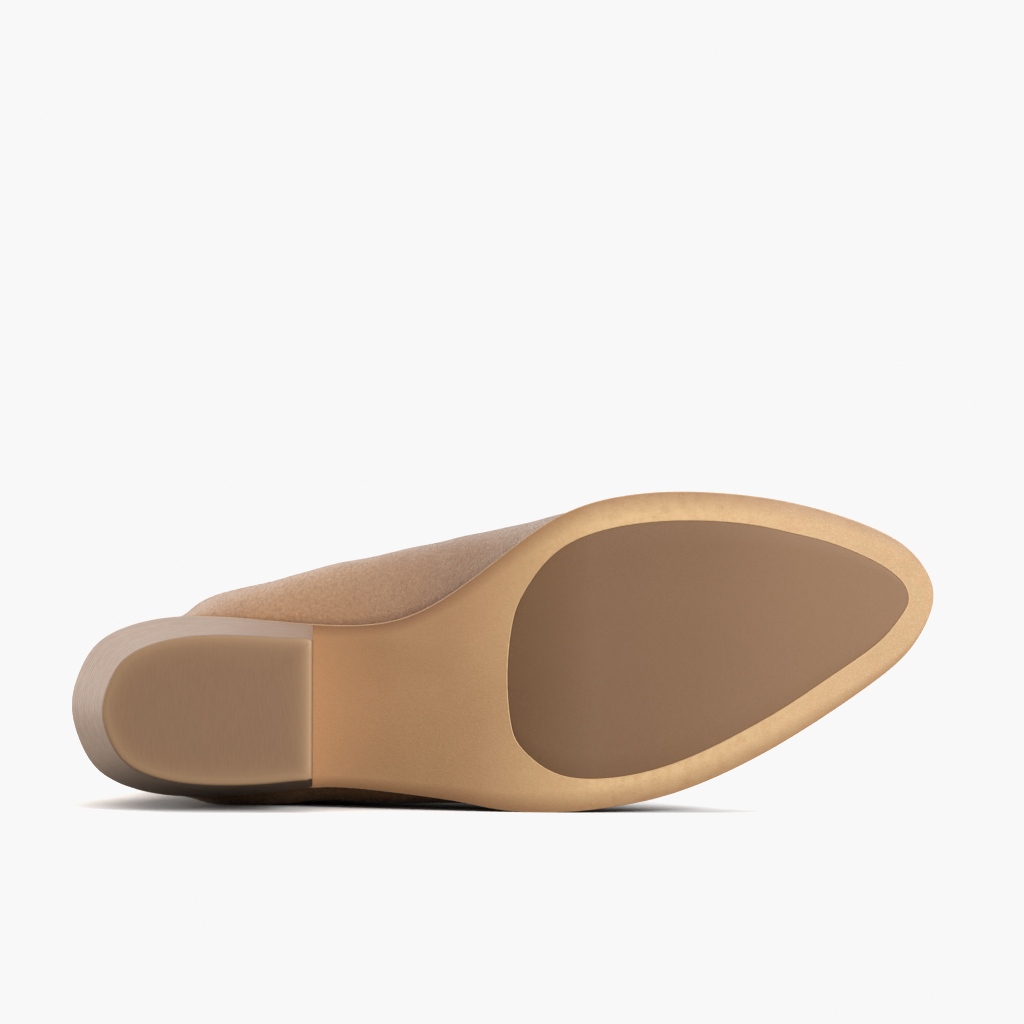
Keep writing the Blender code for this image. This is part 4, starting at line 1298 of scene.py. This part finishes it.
# Camera, floor and light. The camera looks straight along the boot's vertical, from below.
CAMERA_AWAY = 2.0        # from the plane of the lift's and the tread's faces, in metres
CAMERA_X = 138.2         # on the standing boot, in millimetres
CAMERA_HEIGHT = 0.0923
PIXELS_PER_MM = 3.259
PICTURE = 1024
FLOOR_BOUNCE = 0.18      # the floor's brightness for light that bounces off it
FLOOR_SEEN = 1.80        # and for the camera
CONTACT_REACH = 0.025    # how far from the boot its contact shadow reaches, in metres
AMBIENT = 0.22

camera = placed("camera", bpy.data.cameras.new("camera"))
spot = laid([[CAMERA_X, 0.0, 0.0]])[0]
camera.location = (spot[0], spot[1] - CAMERA_AWAY, CAMERA_HEIGHT)
camera.rotation_euler = (math.pi / 2, 0, 0)
camera.data.sensor_width = 36
camera.data.lens = 36 * PIXELS_PER_MM / MM * CAMERA_AWAY / PICTURE
camera.data.clip_start, camera.data.clip_end = 0.05, 200
bpy.context.scene.camera = camera

floor_mesh = bpy.data.meshes.new("floor")
floor_shape = bmesh.new()
bmesh.ops.create_circle(floor_shape, cap_ends=True, segments=96, radius=60)
floor_shape.to_mesh(floor_mesh)
floor_shape.free()
floor = placed("floor", floor_mesh)


def only_for_camera(tree, plain, bright, output):
    """Shows the bright shader to the camera and the plain one to every other ray."""
    ray = tree.nodes.new("ShaderNodeLightPath")
    choice = tree.nodes.new("ShaderNodeMixShader")
    tree.links.new(ray.outputs["Is Camera Ray"], choice.inputs["Fac"])
    tree.links.new(plain.outputs[0], choice.inputs[1])
    tree.links.new(bright.outputs[0], choice.inputs[2])
    tree.links.new(choice.outputs["Shader"], tree.nodes[output].inputs["Surface"])


def floor_look():
    """White where the camera sees it; dim for bounced light, so the boot's underside stays dark."""
    look = Look("floor", (FLOOR_BOUNCE,) * 3, 0.9)
    open_sky = look.node("AmbientOcclusion", {"Distance": CONTACT_REACH}, samples=8).outputs["AO"]
    level = look.ramp(open_sky, 0, 1, 0.5 * FLOOR_SEEN, FLOOR_SEEN)
    shade = look.node("CombineColor", {"Red": level, "Green": level, "Blue": level})
    bright = look.node("BsdfDiffuse", {"Color": shade.outputs["Color"]})
    only_for_camera(look.tree, look.shader, bright, "Material Output")
    return look.made


floor_mesh.materials.append(floor_look())


def soft_light(name, place, target, size, power):
    light = bpy.data.lights.new(name, "AREA")
    light.shape = "RECTANGLE"
    light.size, light.size_y = size
    light.energy = power
    lamp = placed(name, light)
    lamp.location = place
    lamp.rotation_euler = (Vector(target) - Vector(place)).to_track_quat("-Z", "Y").to_euler()


soft_light("key", (0.66, -0.95, 0.46), (0.03, -0.05, 0.05), (0.5, 0.4), 13.6)
soft_light("left", (-0.62, 0.08, 0.11), (-0.12, -0.04, 0.04), (0.4, 0.20), 1.75)
soft_light("back", (-0.25, 0.85, 0.60), (-0.03, 0.0, 0.08), (1.2, 0.6), 1.3)

sun = bpy.data.lights.new("overhead", "SUN")
sun.energy = 1.4
sun.angle = math.radians(80)
placed("overhead", sun).rotation_euler = (math.radians(-25), math.radians(-32), 0)

world = bpy.data.worlds.new("studio")
world.use_nodes = True
background = world.node_tree.nodes["Background"]
seen = world.node_tree.nodes.new("ShaderNodeBackground")
for sky, strength in ((background, AMBIENT), (seen, 1.0)):
    sky.inputs["Color"].default_value = (1, 1, 1, 1)
    sky.inputs["Strength"].default_value = strength
only_for_camera(world.node_tree, background, seen, "World Output")
bpy.context.scene.world = world

# The brightest white is the photo's own pale background.
view = bpy.context.scene.view_settings
view.view_transform = "Standard"
view.use_curve_mapping = True
view.curve_mapping.extend = "HORIZONTAL"
view.curve_mapping.curves[3].points[1].location = (srgb(248, 248, 248)[0],) * 2
view.curve_mapping.update()
